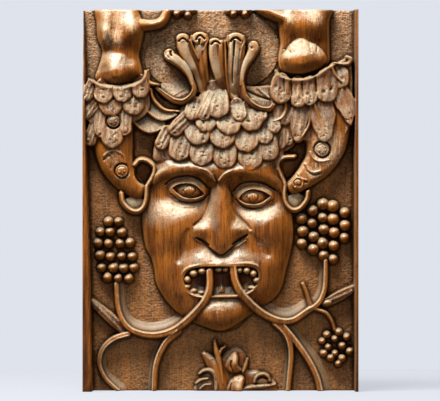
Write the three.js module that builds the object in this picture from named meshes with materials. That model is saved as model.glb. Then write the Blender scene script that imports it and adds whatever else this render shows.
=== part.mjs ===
import * as THREE from 'three';

// A section of one thick oak plank, carved in high relief with a foliate mask between two half figures.
// Millimetres, X across, Z up, the carving looks along -Y and the flat back lies at Y = 0.

// Driving sizes
const panelWidth = 375;
const panelHeight = 520;
const panelThickness = 75;
const reliefDepth = 38;
const rightMarginWidth = 5;
const leftMarginTopWidth = 0.5;
const leftMarginFootWidth = 13.5;
const fullMarginWidth = 4;
const vineWidth = 6;
const leftGrapeRadius = 6.8;
const rightGrapeRadius = 7.8;
const lowerGrapeRadius = 5.6;
const topGrapeRadius = 5.4;
const bossRadius = 8.5;
const loopWidth = 6.4;
const toothWidth = 8.4;

// How finely the carving is read, and how many triangles its front may take
const sampleStep = 1.25;
const frontTriangles = 9600;

// The carving is drawn on a squared sheet, counted across and down from the sheet's top left corner,
// and the panel covers this part of it. Places and half widths of the carving are in squares.
const sheet = { left: 83, right: 358, top: 10, bottom: 391 };
const squareWidth = panelWidth / (sheet.right - sheet.left);
const squareHeight = panelHeight / (sheet.bottom - sheet.top);
const squares = (millimetres) => millimetres / squareWidth;

// Levels are shares of the relief's depth, 0 on the sunk ground and 1 on the face of the plank
const columns = Math.round(panelWidth / sampleStep);
const rows = Math.round(panelHeight / sampleStep);
const levels = new Float64Array((columns + 1) * (rows + 1));
const acrossStep = (sheet.right - sheet.left) / columns;
const downStep = (sheet.bottom - sheet.top) / rows;

// Ways to join a form to what is there already
const higher = (before, level) => Math.max(before, level);
const lower = (before, level) => Math.min(before, level);
const add = (before, change) => before + change;

// Gives every sample inside a box of the sheet the level that a form has there
function shape(box, form, join = higher) {
  const firstColumn = Math.max(0, Math.ceil((box.min.x - sheet.left) / acrossStep));
  const lastColumn = Math.min(columns, Math.floor((box.max.x - sheet.left) / acrossStep));
  const firstRow = Math.max(0, Math.ceil((box.min.y - sheet.top) / downStep));
  const lastRow = Math.min(rows, Math.floor((box.max.y - sheet.top) / downStep));
  for (let row = firstRow; row <= lastRow; row++) {
    for (let column = firstColumn; column <= lastColumn; column++) {
      const level = form(sheet.left + column * acrossStep, sheet.top + row * downStep);
      if (level === null) continue;
      const sample = row * (columns + 1) + column;
      levels[sample] = join(levels[sample], level);
    }
  }
}

// The value of a list of evenly spaced stations at a share of its length
function mix(list, along) {
  const place = Math.min(Math.max(along, 0), 1) * (list.length - 1);
  if (list.length === 1) return list[0];
  const first = Math.min(Math.floor(place), list.length - 2);
  return THREE.MathUtils.lerp(list[first], list[first + 1], place - first);
}

// Where a point lies beside a line of points: how far along, and how far off on which side
function beside(points, across, down) {
  let best = { distance: Infinity, along: 0, side: 1 };
  for (let i = 0; i < points.length - 1; i++) {
    const stepAcross = points[i + 1].x - points[i].x;
    const stepDown = points[i + 1].y - points[i].y;
    const offAcross = across - points[i].x;
    const offDown = down - points[i].y;
    const reach = (offAcross * stepAcross + offDown * stepDown) / (stepAcross ** 2 + stepDown ** 2);
    const share = Math.min(Math.max(reach, 0), 1);
    const distance = Math.hypot(offAcross - share * stepAcross, offDown - share * stepDown);
    if (distance < best.distance) {
      const side = Math.sign(stepAcross * offDown - stepDown * offAcross) || 1;
      best = { distance, along: (i + share) / (points.length - 1), side };
    }
  }
  return best;
}

// Sections across a strap, from 0 in the middle to 1 at its edge
const round = (aside) => Math.sqrt(Math.max(0, 1 - aside * aside));
const soft = (aside) => (1 - aside * aside) ** 2;
const flattened = (aside) => Math.sqrt(Math.max(0, 1 - aside ** 4));

// The box of the sheet around a centre
const boxAround = ([across, down], [reachAcross, reachDown]) => new THREE.Box2(
  new THREE.Vector2(across - reachAcross, down - reachDown),
  new THREE.Vector2(across + reachAcross, down + reachDown),
);

// How far a point lies from the middle of an oval, 1 on its edge
function withinOval(at, radii, across, down) {
  return Math.hypot((across - at[0]) / radii[0], (down - at[1]) / radii[1]);
}

function spline(line) {
  const curve = new THREE.SplineCurve(line.map(([across, down]) => new THREE.Vector2(across, down)));
  return curve.getPoints(6 * (line.length - 1));
}

// A band that follows a line. Its half widths and the levels of its top run evenly along it, its
// edges stand at a share of the top, and the left side of the line may be wider than the right one.
function strap({ line, half, top, foot = 0.55, section = round, left = half, join = higher }) {
  const points = spline(line);
  const reach = Math.max(...half, ...left);
  const box = new THREE.Box2().setFromPoints(points).expandByScalar(reach);
  const form = (across, down) => {
    const { distance, along, side } = beside(points, across, down);
    const aside = distance / mix(side < 0 ? left : half, along);
    if (aside > 1) return null;
    return mix(top, along) * (foot + (1 - foot) * section(aside, side));
  };
  shape(box, form, join);
}

// A soft groove along a line, cut into what is there
function groove({ line, half, depth }) {
  strap({ line, half, top: [-depth], foot: 0, section: soft, join: add });
}

// A tongue-shaped leaf from its root to its round tip, which lifts off what lies below it
function leaf({ root, tip, half, top, foot = 0.9, section = flattened, bend = 0 }) {
  const start = new THREE.Vector2(...root);
  const end = new THREE.Vector2(...tip);
  const length = start.distanceTo(end);
  const stop = start.clone().lerp(end, 1 - Math.min(half / length, 0.6));
  const middle = start.clone().lerp(stop, 0.5);
  const across = new THREE.Vector2(start.y - end.y, end.x - start.x).setLength(bend);
  middle.add(across);
  strap({
    line: [root, middle.toArray(), stop.toArray()],
    half: [0.75 * half, half, half],
    top,
    foot,
    section,
  });
}

// A dome on an oval, with steep sides up to the foot
function boss({ at, radii, top, foot = 0.5, join = higher }) {
  const form = (across, down) => {
    const aside = withinOval(at, radii, across, down);
    return aside > 1 ? null : top * (foot + (1 - foot) * round(aside));
  };
  shape(boxAround(at, radii), form, join);
}

// A soft swelling, or with a negative rise a soft hollow, added to what is there
function swell({ at, radii, rise }) {
  const form = (across, down) => {
    const aside = withinOval(at, radii, across, down);
    return aside > 1 ? null : rise * soft(aside);
  };
  shape(boxAround(at, radii), form, add);
}

// A closed outline: its depth inside the edge gives the level, and nothing is changed outside it
function field({ outline, level, join = higher }) {
  const points = spline([...outline, outline[0]]);
  const box = new THREE.Box2().setFromPoints(points);
  const form = (across, down) => {
    let inside = false;
    for (let i = 0, j = points.length - 1; i < points.length; j = i++) {
      const crosses = points[i].y > down !== points[j].y > down;
      const share = (down - points[i].y) / (points[j].y - points[i].y);
      if (crosses && across < points[i].x + share * (points[j].x - points[i].x)) inside = !inside;
    }
    return inside ? level(beside(points, across, down).distance, across, down) : null;
  };
  shape(box, form, join);
}

// Grapes in slanted rows, each row with its first grape and its count
function grapes({ rowStarts, step, radius, top }) {
  for (const [across, down, count] of rowStarts) {
    for (let i = 0; i < count; i++) {
      boss({ at: [across + i * step[0], down + i * step[1]], radii: [radius, radius], top, foot: 0.4 });
    }
  }
}

// A round boss standing in a sunk ring
function ringedBoss({ at, floor, top }) {
  const radius = squares(bossRadius);
  boss({ at, radii: [1.35 * radius, 1.35 * radius], top: floor, foot: 1, join: lower });
  boss({ at, radii: [radius, radius], top, foot: 0.8 });
}

// The plain margins of the plank. The left one runs out towards the top, where it is also lower.
function margins() {
  const leftWidth = (down) => {
    const share = (down - sheet.top) / (sheet.bottom - sheet.top);
    return THREE.MathUtils.lerp(leftMarginTopWidth, leftMarginFootWidth, share);
  };
  const whole = new THREE.Box2(
    new THREE.Vector2(sheet.left, sheet.top),
    new THREE.Vector2(sheet.right, sheet.bottom),
  );
  shape(whole, (across, down) => {
    if (across > sheet.right - squares(rightMarginWidth)) return 1;
    const width = leftWidth(down);
    return across < sheet.left + squares(width) ? Math.min(width / fullMarginWidth, 1) : null;
  });
}

function leftFigure() {
  // tail, curving in to the loop beside the mask
  strap({
    line: [[113, 108], [113, 128], [113.5, 148], [117, 164], [126, 181], [140, 195.5]],
    half: [19.5, 19.5, 19.5, 17, 11.5, 4],
    top: [0.66, 0.7, 0.72, 0.7, 0.64, 0.52],
    foot: 0.45,
  });
  leaf({ root: [96, 118], tip: [89, 146], half: 5, top: [0.58, 0.64] });
  leaf({ root: [113, 122], tip: [112, 148.5], half: 9.5, top: [0.72, 0.84] });
  strap({
    line: [[105, 157], [110, 151.5], [117, 150.5], [124, 156]],
    half: [1.4],
    top: [0.82],
    foot: 0.92,
  });
  ringedBoss({ at: [122, 171], floor: 0.56, top: 0.76 });
  ringedBoss({ at: [113.5, 121.5], floor: 0.6, top: 0.84 });
  // second row of the skirt, then the first
  leaf({ root: [100, 97], tip: [84.5, 120], half: 5.5, top: [0.66, 0.76] });
  leaf({ root: [111, 98], tip: [111, 115.5], half: 12, top: [0.74, 0.85] });
  leaf({ root: [134, 98], tip: [134, 116], half: 10, top: [0.72, 0.84] });
  leaf({ root: [90, 83], tip: [88, 101.5], half: 6, top: [0.74, 0.86] });
  leaf({ root: [105, 87], tip: [104.5, 104], half: 9.6, top: [0.8, 0.93] });
  leaf({ root: [124, 88], tip: [123.5, 102.5], half: 9.4, top: [0.8, 0.93] });
  leaf({ root: [140, 83], tip: [141.5, 99], half: 8.8, top: [0.78, 0.91] });
  // folded leaves thrown out towards the crest
  leaf({ root: [133, 113], tip: [158, 131], half: 7, top: [0.46, 0.52], bend: -5 });
  strap({
    line: [[141, 111], [146, 119], [153, 125.5], [161, 129]],
    half: [1.5, 2.2, 2, 1.2],
    top: [0.6],
    foot: 0.8,
  });
  leaf({ root: [150, 99], tip: [168, 121.5], half: 9.5, top: [0.56, 0.64], bend: -3 });
  field({
    outline: [
      [151, 89], [155, 98], [163, 106.5], [172, 110], [180, 110], [186, 104], [170, 101], [158, 93],
    ],
    level: () => 0.42,
  });
  strap({
    line: [[151, 90], [153.5, 99], [158.5, 105.5], [166, 110.5], [179, 112]],
    half: [1.6, 2, 2, 2, 1.2],
    top: [0.72],
    foot: 0.8,
  });
  strap({
    line: [[146, 72], [147.5, 79], [151, 84], [159.5, 83.5]],
    half: [1.6, 3, 3.4, 1.4],
    top: [0.62],
    foot: 0.7,
  });
  // body, arms and the rim of the skirt
  strap({
    line: [[123, 4], [124, 30], [121.5, 52], [118, 74]],
    half: [18, 17.5, 14.5, 23],
    top: [0.8, 0.82, 0.74, 0.66],
    foot: 0.45,
  });
  strap({
    line: [[101, 4], [103, 26], [104, 42]],
    half: [8, 7.5, 6],
    top: [0.86, 0.84, 0.74],
    foot: 0.6,
  });
  boss({ at: [113, 24], radii: [10, 24], top: 0.88, foot: 0.8 });
  boss({ at: [133, 29], radii: [9, 13], top: 0.95, foot: 0.75 });
  boss({ at: [119, 68], radii: [17, 18], top: 0.98, foot: 0.42 });
  strap({
    line: [[138, 27], [148, 25], [158, 24.5], [164, 20], [167, 12], [168, 4]],
    half: [5.5, 4.6, 4.6, 4.6, 4.2, 4],
    top: [0.76, 0.7, 0.66, 0.64, 0.62, 0.6],
    foot: 0.5,
  });
  strap({
    line: [
      [91, 80], [97, 84], [106, 86.5], [118, 87.5], [129, 86.5], [137, 84], [143, 80], [146.5, 72],
    ],
    half: [2, 2.4, 2.4, 2.4, 2.4, 2.4, 2.4, 1.6],
    top: [0.88],
    foot: 0.8,
  });
}

function rightFigure() {
  // tail, curving in to the scroll beside the mask
  strap({
    line: [[328, 100], [328.5, 125], [326, 145], [320, 161], [310, 174], [299, 184]],
    half: [23, 22.5, 20.5, 16, 11, 7],
    top: [0.66, 0.7, 0.72, 0.7, 0.64, 0.56],
    foot: 0.45,
  });
  leaf({ root: [315, 156], tip: [315, 172], half: 5.8, top: [0.74, 0.82] });
  strap({
    line: [[301, 172], [306, 170], [310, 172], [313, 179]],
    half: [1.4],
    top: [0.78],
    foot: 0.92,
  });
  boss({ at: [298, 183.5], radii: [6, 6.5], top: 0.72, foot: 0.85 });
  ringedBoss({ at: [322, 150], floor: 0.56, top: 0.78 });
  // folded leaves under the skirt
  leaf({ root: [270, 116], tip: [271, 134], half: 5, top: [0.52, 0.62] });
  leaf({ root: [280, 118], tip: [281, 135.5], half: 5, top: [0.5, 0.58] });
  leaf({ root: [285, 124], tip: [284.5, 150], half: 8.5, top: [0.54, 0.66] });
  strap({ line: [[272, 134], [276, 142], [280, 149]], half: [1.6], top: [0.7], foot: 0.8 });
  leaf({ root: [303, 104], tip: [297, 142.5], half: 8.5, top: [0.66, 0.7], bend: 2 });
  strap({
    line: [[310, 103], [310, 115], [307.5, 127], [301, 136]],
    half: [1.6, 2, 2, 1.4],
    top: [0.8],
    foot: 0.85,
  });
  leaf({ root: [327, 103], tip: [326, 142], half: 9.5, top: [0.74, 0.86] });
  leaf({ root: [315, 104], tip: [318, 139], half: 8.5, top: [0.72, 0.82] });
  strap({
    line: [[314, 103], [319, 113], [322, 124], [325, 138]],
    half: [2, 2.4, 2.2, 1.4],
    top: [0.84, 0.88, 0.9, 0.88],
    foot: 0.9,
  });
  leaf({ root: [337, 92], tip: [350, 125], half: 8.5, top: [0.74, 0.82], bend: -2 });
  leaf({ root: [287, 104], tip: [277, 125], half: 8, top: [0.5, 0.56], bend: 4 });
  strap({
    line: [[285, 101], [284.5, 110], [281, 117], [273, 121.5]],
    half: [1.6, 2.2, 2.2, 1.4],
    top: [0.7],
    foot: 0.8,
  });
  leaf({ root: [281, 84], tip: [281, 103.5], half: 10.2, top: [0.76, 0.88] });
  leaf({ root: [327, 80], tip: [327, 103], half: 10, top: [0.78, 0.92] });
  leaf({ root: [301, 84], tip: [300, 108], half: 9, top: [0.8, 0.93] });
  leaf({ root: [309, 84], tip: [309.5, 106.5], half: 7.5, top: [0.8, 0.91] });
  leaf({ root: [334, 66], tip: [346, 87], half: 8, top: [0.72, 0.84], bend: -2 });
  strap({
    line: [[331, 62], [337, 60.5], [343, 59], [349, 60]],
    half: [1.6, 3, 4.4, 3.4],
    top: [0.84],
    foot: 0.75,
  });
  // body, arm and the rim of the skirt
  strap({
    line: [[308, 4], [307, 28], [304, 46], [303, 66]],
    half: [22.5, 21.5, 23, 23],
    top: [0.84, 0.82, 0.76, 0.72],
    foot: 0.45,
  });
  boss({ at: [303, 55], radii: [23, 18.5], top: 0.98, foot: 0.6 });
  boss({ at: [293, 20], radii: [11, 16], top: 0.92, foot: 0.75 });
  strap({
    line: [[262, 4], [270, 12], [279, 17], [289, 20]],
    half: [6.5, 6, 6, 6.5],
    top: [0.6, 0.68, 0.74, 0.78],
    foot: 0.5,
  });
  strap({
    line: [
      [276, 69], [280, 76], [289, 79], [302, 79], [313, 76], [321, 71], [328, 66.5], [335, 63.5],
    ],
    half: [1.4, 2.4, 2.6, 2.6, 2.6, 2.6, 2.4, 1.8],
    top: [0.88],
    foot: 0.8,
  });
}

function crest() {
  // the leaves inside the two outer curls, rising to the rims
  field({
    outline: [
      [157, 87], [170, 84], [184, 82], [194, 80], [194, 92], [186, 100], [174, 99], [163, 93],
    ],
    level: (depth, across, down) => 0.46 * THREE.MathUtils.smoothstep(down + 0.25 * across, 122, 142),
  });
  field({
    outline: [[245, 85.5], [258, 86], [270, 85.5], [274, 96], [272, 106], [262, 108], [250, 100]],
    level: () => 0.5,
  });
  const folds = [
    // the wall under the right curl
    {
      line: [[226, 96], [236, 102], [247, 108.5], [259, 112.5], [270, 110]],
      half: [3, 3, 3, 3, 2],
      top: [0.72, 0.66],
    },
    // outer left strap, and its rim that comes round underneath
    {
      line: [[168, 57], [176, 61], [184, 66.5], [190, 73], [194.5, 84]],
      half: [5, 4.4, 3.4, 2.8, 2.2],
      top: [0.9, 0.84],
    },
    {
      line: [
        [194.5, 84], [193.5, 93], [188, 99], [179, 100.5], [170, 98], [162, 93.5], [155, 88.5],
      ],
      half: [2, 2.2, 2.2, 2.2, 2, 1.8, 1.4],
      top: [0.84, 0.82, 0.74, 0.66],
    },
    // outer right strap and its rim
    {
      line: [[254, 51], [251, 58], [246, 66], [243, 76], [243.5, 86]],
      half: [5, 4, 3.4, 3, 2.6],
      top: [0.92, 0.86],
    },
    {
      line: [[243.5, 84], [245.5, 95], [251, 102.5], [259, 107.5], [267, 109], [274, 104]],
      half: [2.4, 2.4, 2.2, 2.2, 2.2, 1.6],
      top: [0.88, 0.86, 0.8, 0.74],
    },
    { line: [[239, 74], [238, 90], [241, 101], [250, 107.5]], half: [3, 3.4, 3, 2], top: [0.82, 0.78] },
    // bands of the left side
    {
      line: [[182, 39], [181, 47], [187, 58], [193, 69], [198, 82], [202, 95]],
      half: [6.5, 5.5, 4.4, 3.8, 3.4, 3],
      top: [0.88, 0.78],
    },
    { line: [[191.5, 37], [195, 47], [199, 60], [201, 74]], half: [2, 2, 2, 1.6], top: [0.94, 0.86] },
    { line: [[205, 44], [202.5, 56], [202, 70], [205, 86]], half: [3.6, 4, 3.6, 3], top: [0.92, 0.8] },
    // bands of the right side
    {
      line: [[214, 41], [214, 55], [216, 68], [220, 82], [226, 95]],
      half: [5.4, 5, 4.6, 4.4, 3],
      top: [0.88, 0.8],
    },
    { line: [[220.5, 40], [221, 60], [222, 78], [226, 95]], half: [3], top: [0.82, 0.74] },
    { line: [[224.5, 39], [225, 58], [225.5, 76], [228, 95]], half: [1.6], top: [0.95, 0.86] },
    {
      line: [[230, 40], [229.5, 56], [229.5, 72], [231, 96]],
      half: [4.4, 4, 3.4, 3.4],
      top: [0.86, 0.78],
    },
    {
      line: [[240, 40], [239, 56], [236, 70], [235, 96]],
      half: [4.2, 3.8, 3.4, 3.4],
      top: [0.92, 0.8],
    },
  ];
  for (const fold of folds) strap({ ...fold, foot: 0.84 });
  // the tips curl over
  const tips = [
    { at: [168, 54.5], radii: [4.6, 4.6], top: 0.92 },
    { at: [182, 38.5], radii: [7, 6], top: 0.93 },
    { at: [201, 38], radii: [7.5, 7.5], top: 0.97 },
    { at: [214, 41], radii: [5.4, 5], top: 0.93 },
    { at: [235.5, 37.5], radii: [9.2, 6.5], top: 0.98 },
    { at: [253, 47], radii: [6.8, 6.8], top: 0.96 },
  ];
  for (const tip of tips) boss({ ...tip, foot: 0.88 });
  const hollows = [
    { line: [[199, 41], [198, 50]], half: [3, 1.5], top: [0.5] },
    { line: [[234, 42], [233.5, 56], [232.5, 76]], half: [1.6, 1, 0.8], top: [0.5] },
    { line: [[250, 45], [251, 48]], half: [1.8], top: [0.5] },
  ];
  for (const cut of hollows) strap({ ...cut, foot: 1, join: lower });
}

function hair() {
  // the head falls back to both sides
  const crown = (across) => 1 - 0.16 * ((across - 219) / 62) ** 2;
  const rootFall = 0.2;
  field({
    outline: [
      [155, 170], [156, 148], [166, 130], [184, 110], [200, 95], [210, 84], [224, 95], [244, 107],
      [263, 116], [276, 134], [282, 168], [220, 172],
    ],
    level: (depth, across) => crown(across) * (0.36 + 0.24 * round(1 - Math.min(depth / 14, 1))),
  });
  const leaves = [
    // first row over the brow
    { top: 0.86, root: [163, 132], tip: [160, 149.5], half: 6.6 },
    { top: 0.9, root: [180, 138], tip: [177.5, 161], half: 10.4 },
    { top: 0.9, root: [200, 142], tip: [199, 165.5], half: 12 },
    { top: 0.9, root: [225, 146], tip: [225, 168.5], half: 12.4 },
    { top: 0.9, root: [250, 148], tip: [250, 170.5], half: 11.6 },
    { top: 0.88, root: [269, 136], tip: [270.5, 160.5], half: 11 },
    // second row
    { top: 0.86, root: [199, 122], tip: [198.5, 144.5], half: 12.4 },
    { top: 0.86, root: [223, 126], tip: [222.8, 148.5], half: 11.8 },
    { top: 0.86, root: [246, 130], tip: [245.5, 153], half: 11.2 },
    { top: 0.84, root: [263, 124], tip: [265, 144.5], half: 7.8 },
    // third row
    { top: 0.84, root: [194, 117], tip: [170, 135], half: 6 },
    { top: 0.83, root: [206, 113], tip: [206, 133], half: 9.4 },
    { top: 0.83, root: [229, 113], tip: [229, 134], half: 12 },
    { top: 0.82, root: [253, 118], tip: [254, 132], half: 9.6 },
    // top row and the two leaves of the parting
    { top: 0.82, root: [203, 102], tip: [191.5, 121], half: 7 },
    { top: 0.82, root: [217, 99], tip: [218.5, 119.5], half: 10.5 },
    { top: 0.81, root: [237, 112], tip: [242, 123.5], half: 9 },
    { top: 0.82, root: [210, 91], tip: [213, 108], half: 6.5 },
    { top: 0.9, root: [212, 96], tip: [199, 121], half: 4.4 },
  ];
  for (const { top, root, tip, half } of leaves) {
    leaf({ root, tip, half, top: [(top - rootFall) * crown(root[0]), top * crown(tip[0])] });
  }
}

function loops() {
  const width = squares(loopWidth) / 2;
  const cord = { half: [width], top: [0.6], foot: 0.7 };
  // hollows of the ears, then the bands around them and the cups below
  boss({ at: [143.5, 172], radii: [9, 12], top: 0.1, foot: 1, join: lower });
  boss({ at: [289, 165.5], radii: [9.5, 7.5], top: 0.1, foot: 1, join: lower });
  boss({ at: [134, 201], radii: [12, 8], top: 0.2, foot: 0.9 });
  boss({ at: [295, 201], radii: [11, 8], top: 0.2, foot: 0.9 });
  strap({
    line: [[135, 165], [139, 160.5], [144, 160], [150, 163], [154, 168], [152.5, 176], [148, 184]],
    ...cord,
  });
  strap({
    line: [
      [122, 193.5], [123.5, 202], [129, 208.5], [136, 211], [142, 208], [145.5, 200], [146.5, 186],
    ],
    ...cord,
  });
  strap({ line: [[277.5, 169], [279, 161.5], [285, 157.5], [294, 157]], ...cord });
  strap({
    line: [
      [277.5, 166], [281, 175], [285, 184], [284.5, 196], [287, 204.5], [293, 209.5], [300, 207.5],
      [306, 200], [307.5, 192],
    ],
    ...cord,
  });
}

function face() {
  field({
    outline: [
      [158, 150], [153, 170], [148, 190], [144, 206], [142, 222], [145, 243], [151, 260], [155, 277],
      [161, 292], [170, 304.5], [182, 315.5], [200, 324.5], [211, 329], [221, 330.5], [232, 327.5],
      [241, 321], [249, 316.5], [268, 304.5], [277, 295.5], [283, 282], [287.5, 263], [292, 247],
      [293, 230], [291, 208], [287, 188], [282, 168], [274, 150],
    ],
    level: (depth, across) => {
      const crown = 1 - ((across - 219) / 74) ** 2;
      return 0.32 + 0.24 * round(1 - Math.min(depth / 22, 1)) + 0.05 * crown;
    },
  });
  // sockets, cheeks that swell forward below a sloping ledge, and the muzzle around the mouth
  swell({ at: [187, 188], radii: [34, 24], rise: -0.18 });
  swell({ at: [254, 194], radii: [33, 24], rise: -0.18 });
  swell({ at: [174, 238], radii: [34, 44], rise: 0.22 });
  swell({ at: [268, 240], radii: [32, 44], rise: 0.22 });
  swell({ at: [221, 276], radii: [58, 34], rise: 0.22 });
  swell({ at: [180, 288], radii: [28, 34], rise: 0.06 });
  swell({ at: [264, 284], radii: [24, 32], rise: 0.06 });
  // folds beside the nose, and the crease under the lower lip
  groove({
    line: [[208, 212], [200, 219], [192, 223], [187, 231], [189, 240]],
    half: [3, 4, 4, 3],
    depth: 0.09,
  });
  groove({
    line: [[233, 211], [238, 220], [246, 224], [252, 231], [252, 238]],
    half: [3, 4, 4, 3],
    depth: 0.09,
  });
  groove({ line: [[189, 236], [184, 243], [180, 254]], half: [5, 5, 3], depth: 0.07 });
  groove({ line: [[251, 236], [259, 243], [267, 248], [276, 252]], half: [5, 5, 3], depth: 0.08 });
  groove({ line: [[200, 301], [221, 303], [242, 299]], half: [4], depth: 0.1 });
  const brow = { foot: 0.84, half: [4, 6, 7, 6, 4] };
  strap({
    line: [[160, 181], [172, 172], [187, 168], [202, 170], [214, 181]],
    top: [0.66, 0.76, 0.82, 0.84, 0.84],
    ...brow,
  });
  strap({
    line: [[219, 181], [229, 175], [245, 172], [261, 175], [277, 184]],
    top: [0.84, 0.84, 0.82, 0.76, 0.66],
    ...brow,
  });
  eye({ inner: [206, 193], outer: [171, 187], top: [188, 180], foot: [189, 201.5], ball: [189, 191] });
  eye({ inner: [237, 199], outer: [271, 195], top: [253, 187.5], foot: [251, 208], ball: [252, 198] });
  nose();
  mouth();
  boss({ at: [221, 313], radii: [24, 16], top: 0.9, foot: 0.74 });
}

// An eyeball between two lids that meet at the corners
function eye({ inner, outer, top, foot, ball }) {
  boss({ at: ball, radii: [16, 10.5], top: 0.68, foot: 0.84 });
  boss({ at: ball, radii: [7, 5.5], top: 0.72, foot: 0.92 });
  const between = ([cornerAcross, cornerDown], [edgeAcross, edgeDown]) => [
    THREE.MathUtils.lerp(cornerAcross, edgeAcross, 0.55),
    THREE.MathUtils.lerp(cornerDown, edgeDown, 0.78),
  ];
  for (const edge of [top, foot]) {
    strap({
      line: [outer, between(outer, edge), edge, between(inner, edge), inner],
      half: [1.4, 2.2, 2.4, 2.2, 1.4],
      top: [0.62, 0.7, 0.74, 0.72, 0.66],
      foot: 0.85,
    });
  }
}

function nose() {
  // the underside, whose edge runs down from both wings to the tip
  field({
    outline: [
      [190, 235], [195, 241.5], [205, 245.5], [213, 250.5], [221, 253.5], [229, 251], [238, 246],
      [246, 240.5], [250, 233], [240, 226], [221, 222], [203, 226],
    ],
    level: () => 0.74,
  });
  strap({
    line: [[221, 178], [220.5, 198], [220.5, 220], [221, 240.5]],
    half: [7, 8.5, 10.5, 12.5],
    top: [0.8, 0.86, 0.96, 1],
    foot: 0.74,
  });
  boss({ at: [203.5, 230.5], radii: [13.5, 11], top: 0.9, foot: 0.78 });
  boss({ at: [238, 228.5], radii: [13, 11], top: 0.9, foot: 0.78 });
  // nostrils, seen from below
  strap({
    line: [[196, 238.5], [202, 240], [208, 243.5]],
    half: [2.6, 3.4, 3],
    top: [0.58],
    foot: 1,
    join: lower,
  });
  strap({
    line: [[232.5, 243.5], [238, 240], [245, 236]],
    half: [3, 3.6, 2.4],
    top: [0.58],
    foot: 1,
    join: lower,
  });
}

function mouth() {
  const lip = {
    upper: [
      [182, 281], [184, 273], [192, 267.5], [205, 265.5], [222, 265], [240, 265], [254, 266],
      [260, 270], [260.5, 280],
    ],
    under: [
      [182, 279], [183.5, 287], [190, 293.5], [201, 297.5], [221, 298.5], [240, 297], [253, 291],
      [260.5, 280],
    ],
  };
  strap({
    line: lip.upper,
    half: [2, 2.6, 3, 3.2, 3.4, 3.2, 3, 2.6, 2],
    top: [0.76, 0.84, 0.9, 0.92, 0.93, 0.92, 0.9, 0.84, 0.76],
    foot: 0.88,
  });
  strap({
    line: lip.under,
    half: [2, 2, 2.2, 2.6, 3, 2.6, 2.2, 2],
    top: [0.76, 0.78, 0.82, 0.84, 0.86, 0.84, 0.82, 0.76],
    foot: 0.88,
  });
  // the open mouth inside the lips
  field({
    outline: [
      [184.5, 280], [187.5, 274], [195, 270], [206, 268.5], [222, 268], [240, 268], [252, 269],
      [257.5, 273], [258, 280], [252, 288.5], [240, 294.5], [221, 296], [202, 295], [191, 291],
      [186, 286],
    ],
    level: () => 0.36,
    join: lower,
  });
  // teeth along the upper lip and down both corners
  const half = squares(toothWidth) / 2;
  const gums = [
    [187, 287], [187, 279], [193.5, 273.5], [204, 271.5], [221, 271], [239, 271], [249, 272],
    [254.5, 278], [252, 286.5],
  ];
  const row = new THREE.SplineCurve(gums.map(([across, down]) => new THREE.Vector2(across, down)));
  const count = Math.round(row.getLength() / (2.3 * half));
  for (let i = 0; i <= count; i++) {
    boss({ at: row.getPointAt(i / count).toArray(), radii: [half, 1.1 * half], top: 0.76, foot: 0.85 });
  }
  boss({ at: [223, 289], radii: [3, 6], top: 0.6, foot: 0.7 });
}

// A stem with a flat band on one side of its crisp edge and a wide bevel on the other, which lies to
// the right of the line as it runs unless the stem is turned
function stem({ line, top, band = [1], bevel = [8], turned = false }) {
  const bandSide = turned ? 1 : -1;
  const front = band.map((share) => share * squares(vineWidth));
  strap({
    line,
    top,
    half: turned ? front : bevel,
    left: turned ? bevel : front,
    foot: 0,
    section: (aside, side) => (side === bandSide ? 0.8 + 0.2 * round(aside) : 1 - 0.92 * aside),
  });
}

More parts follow.
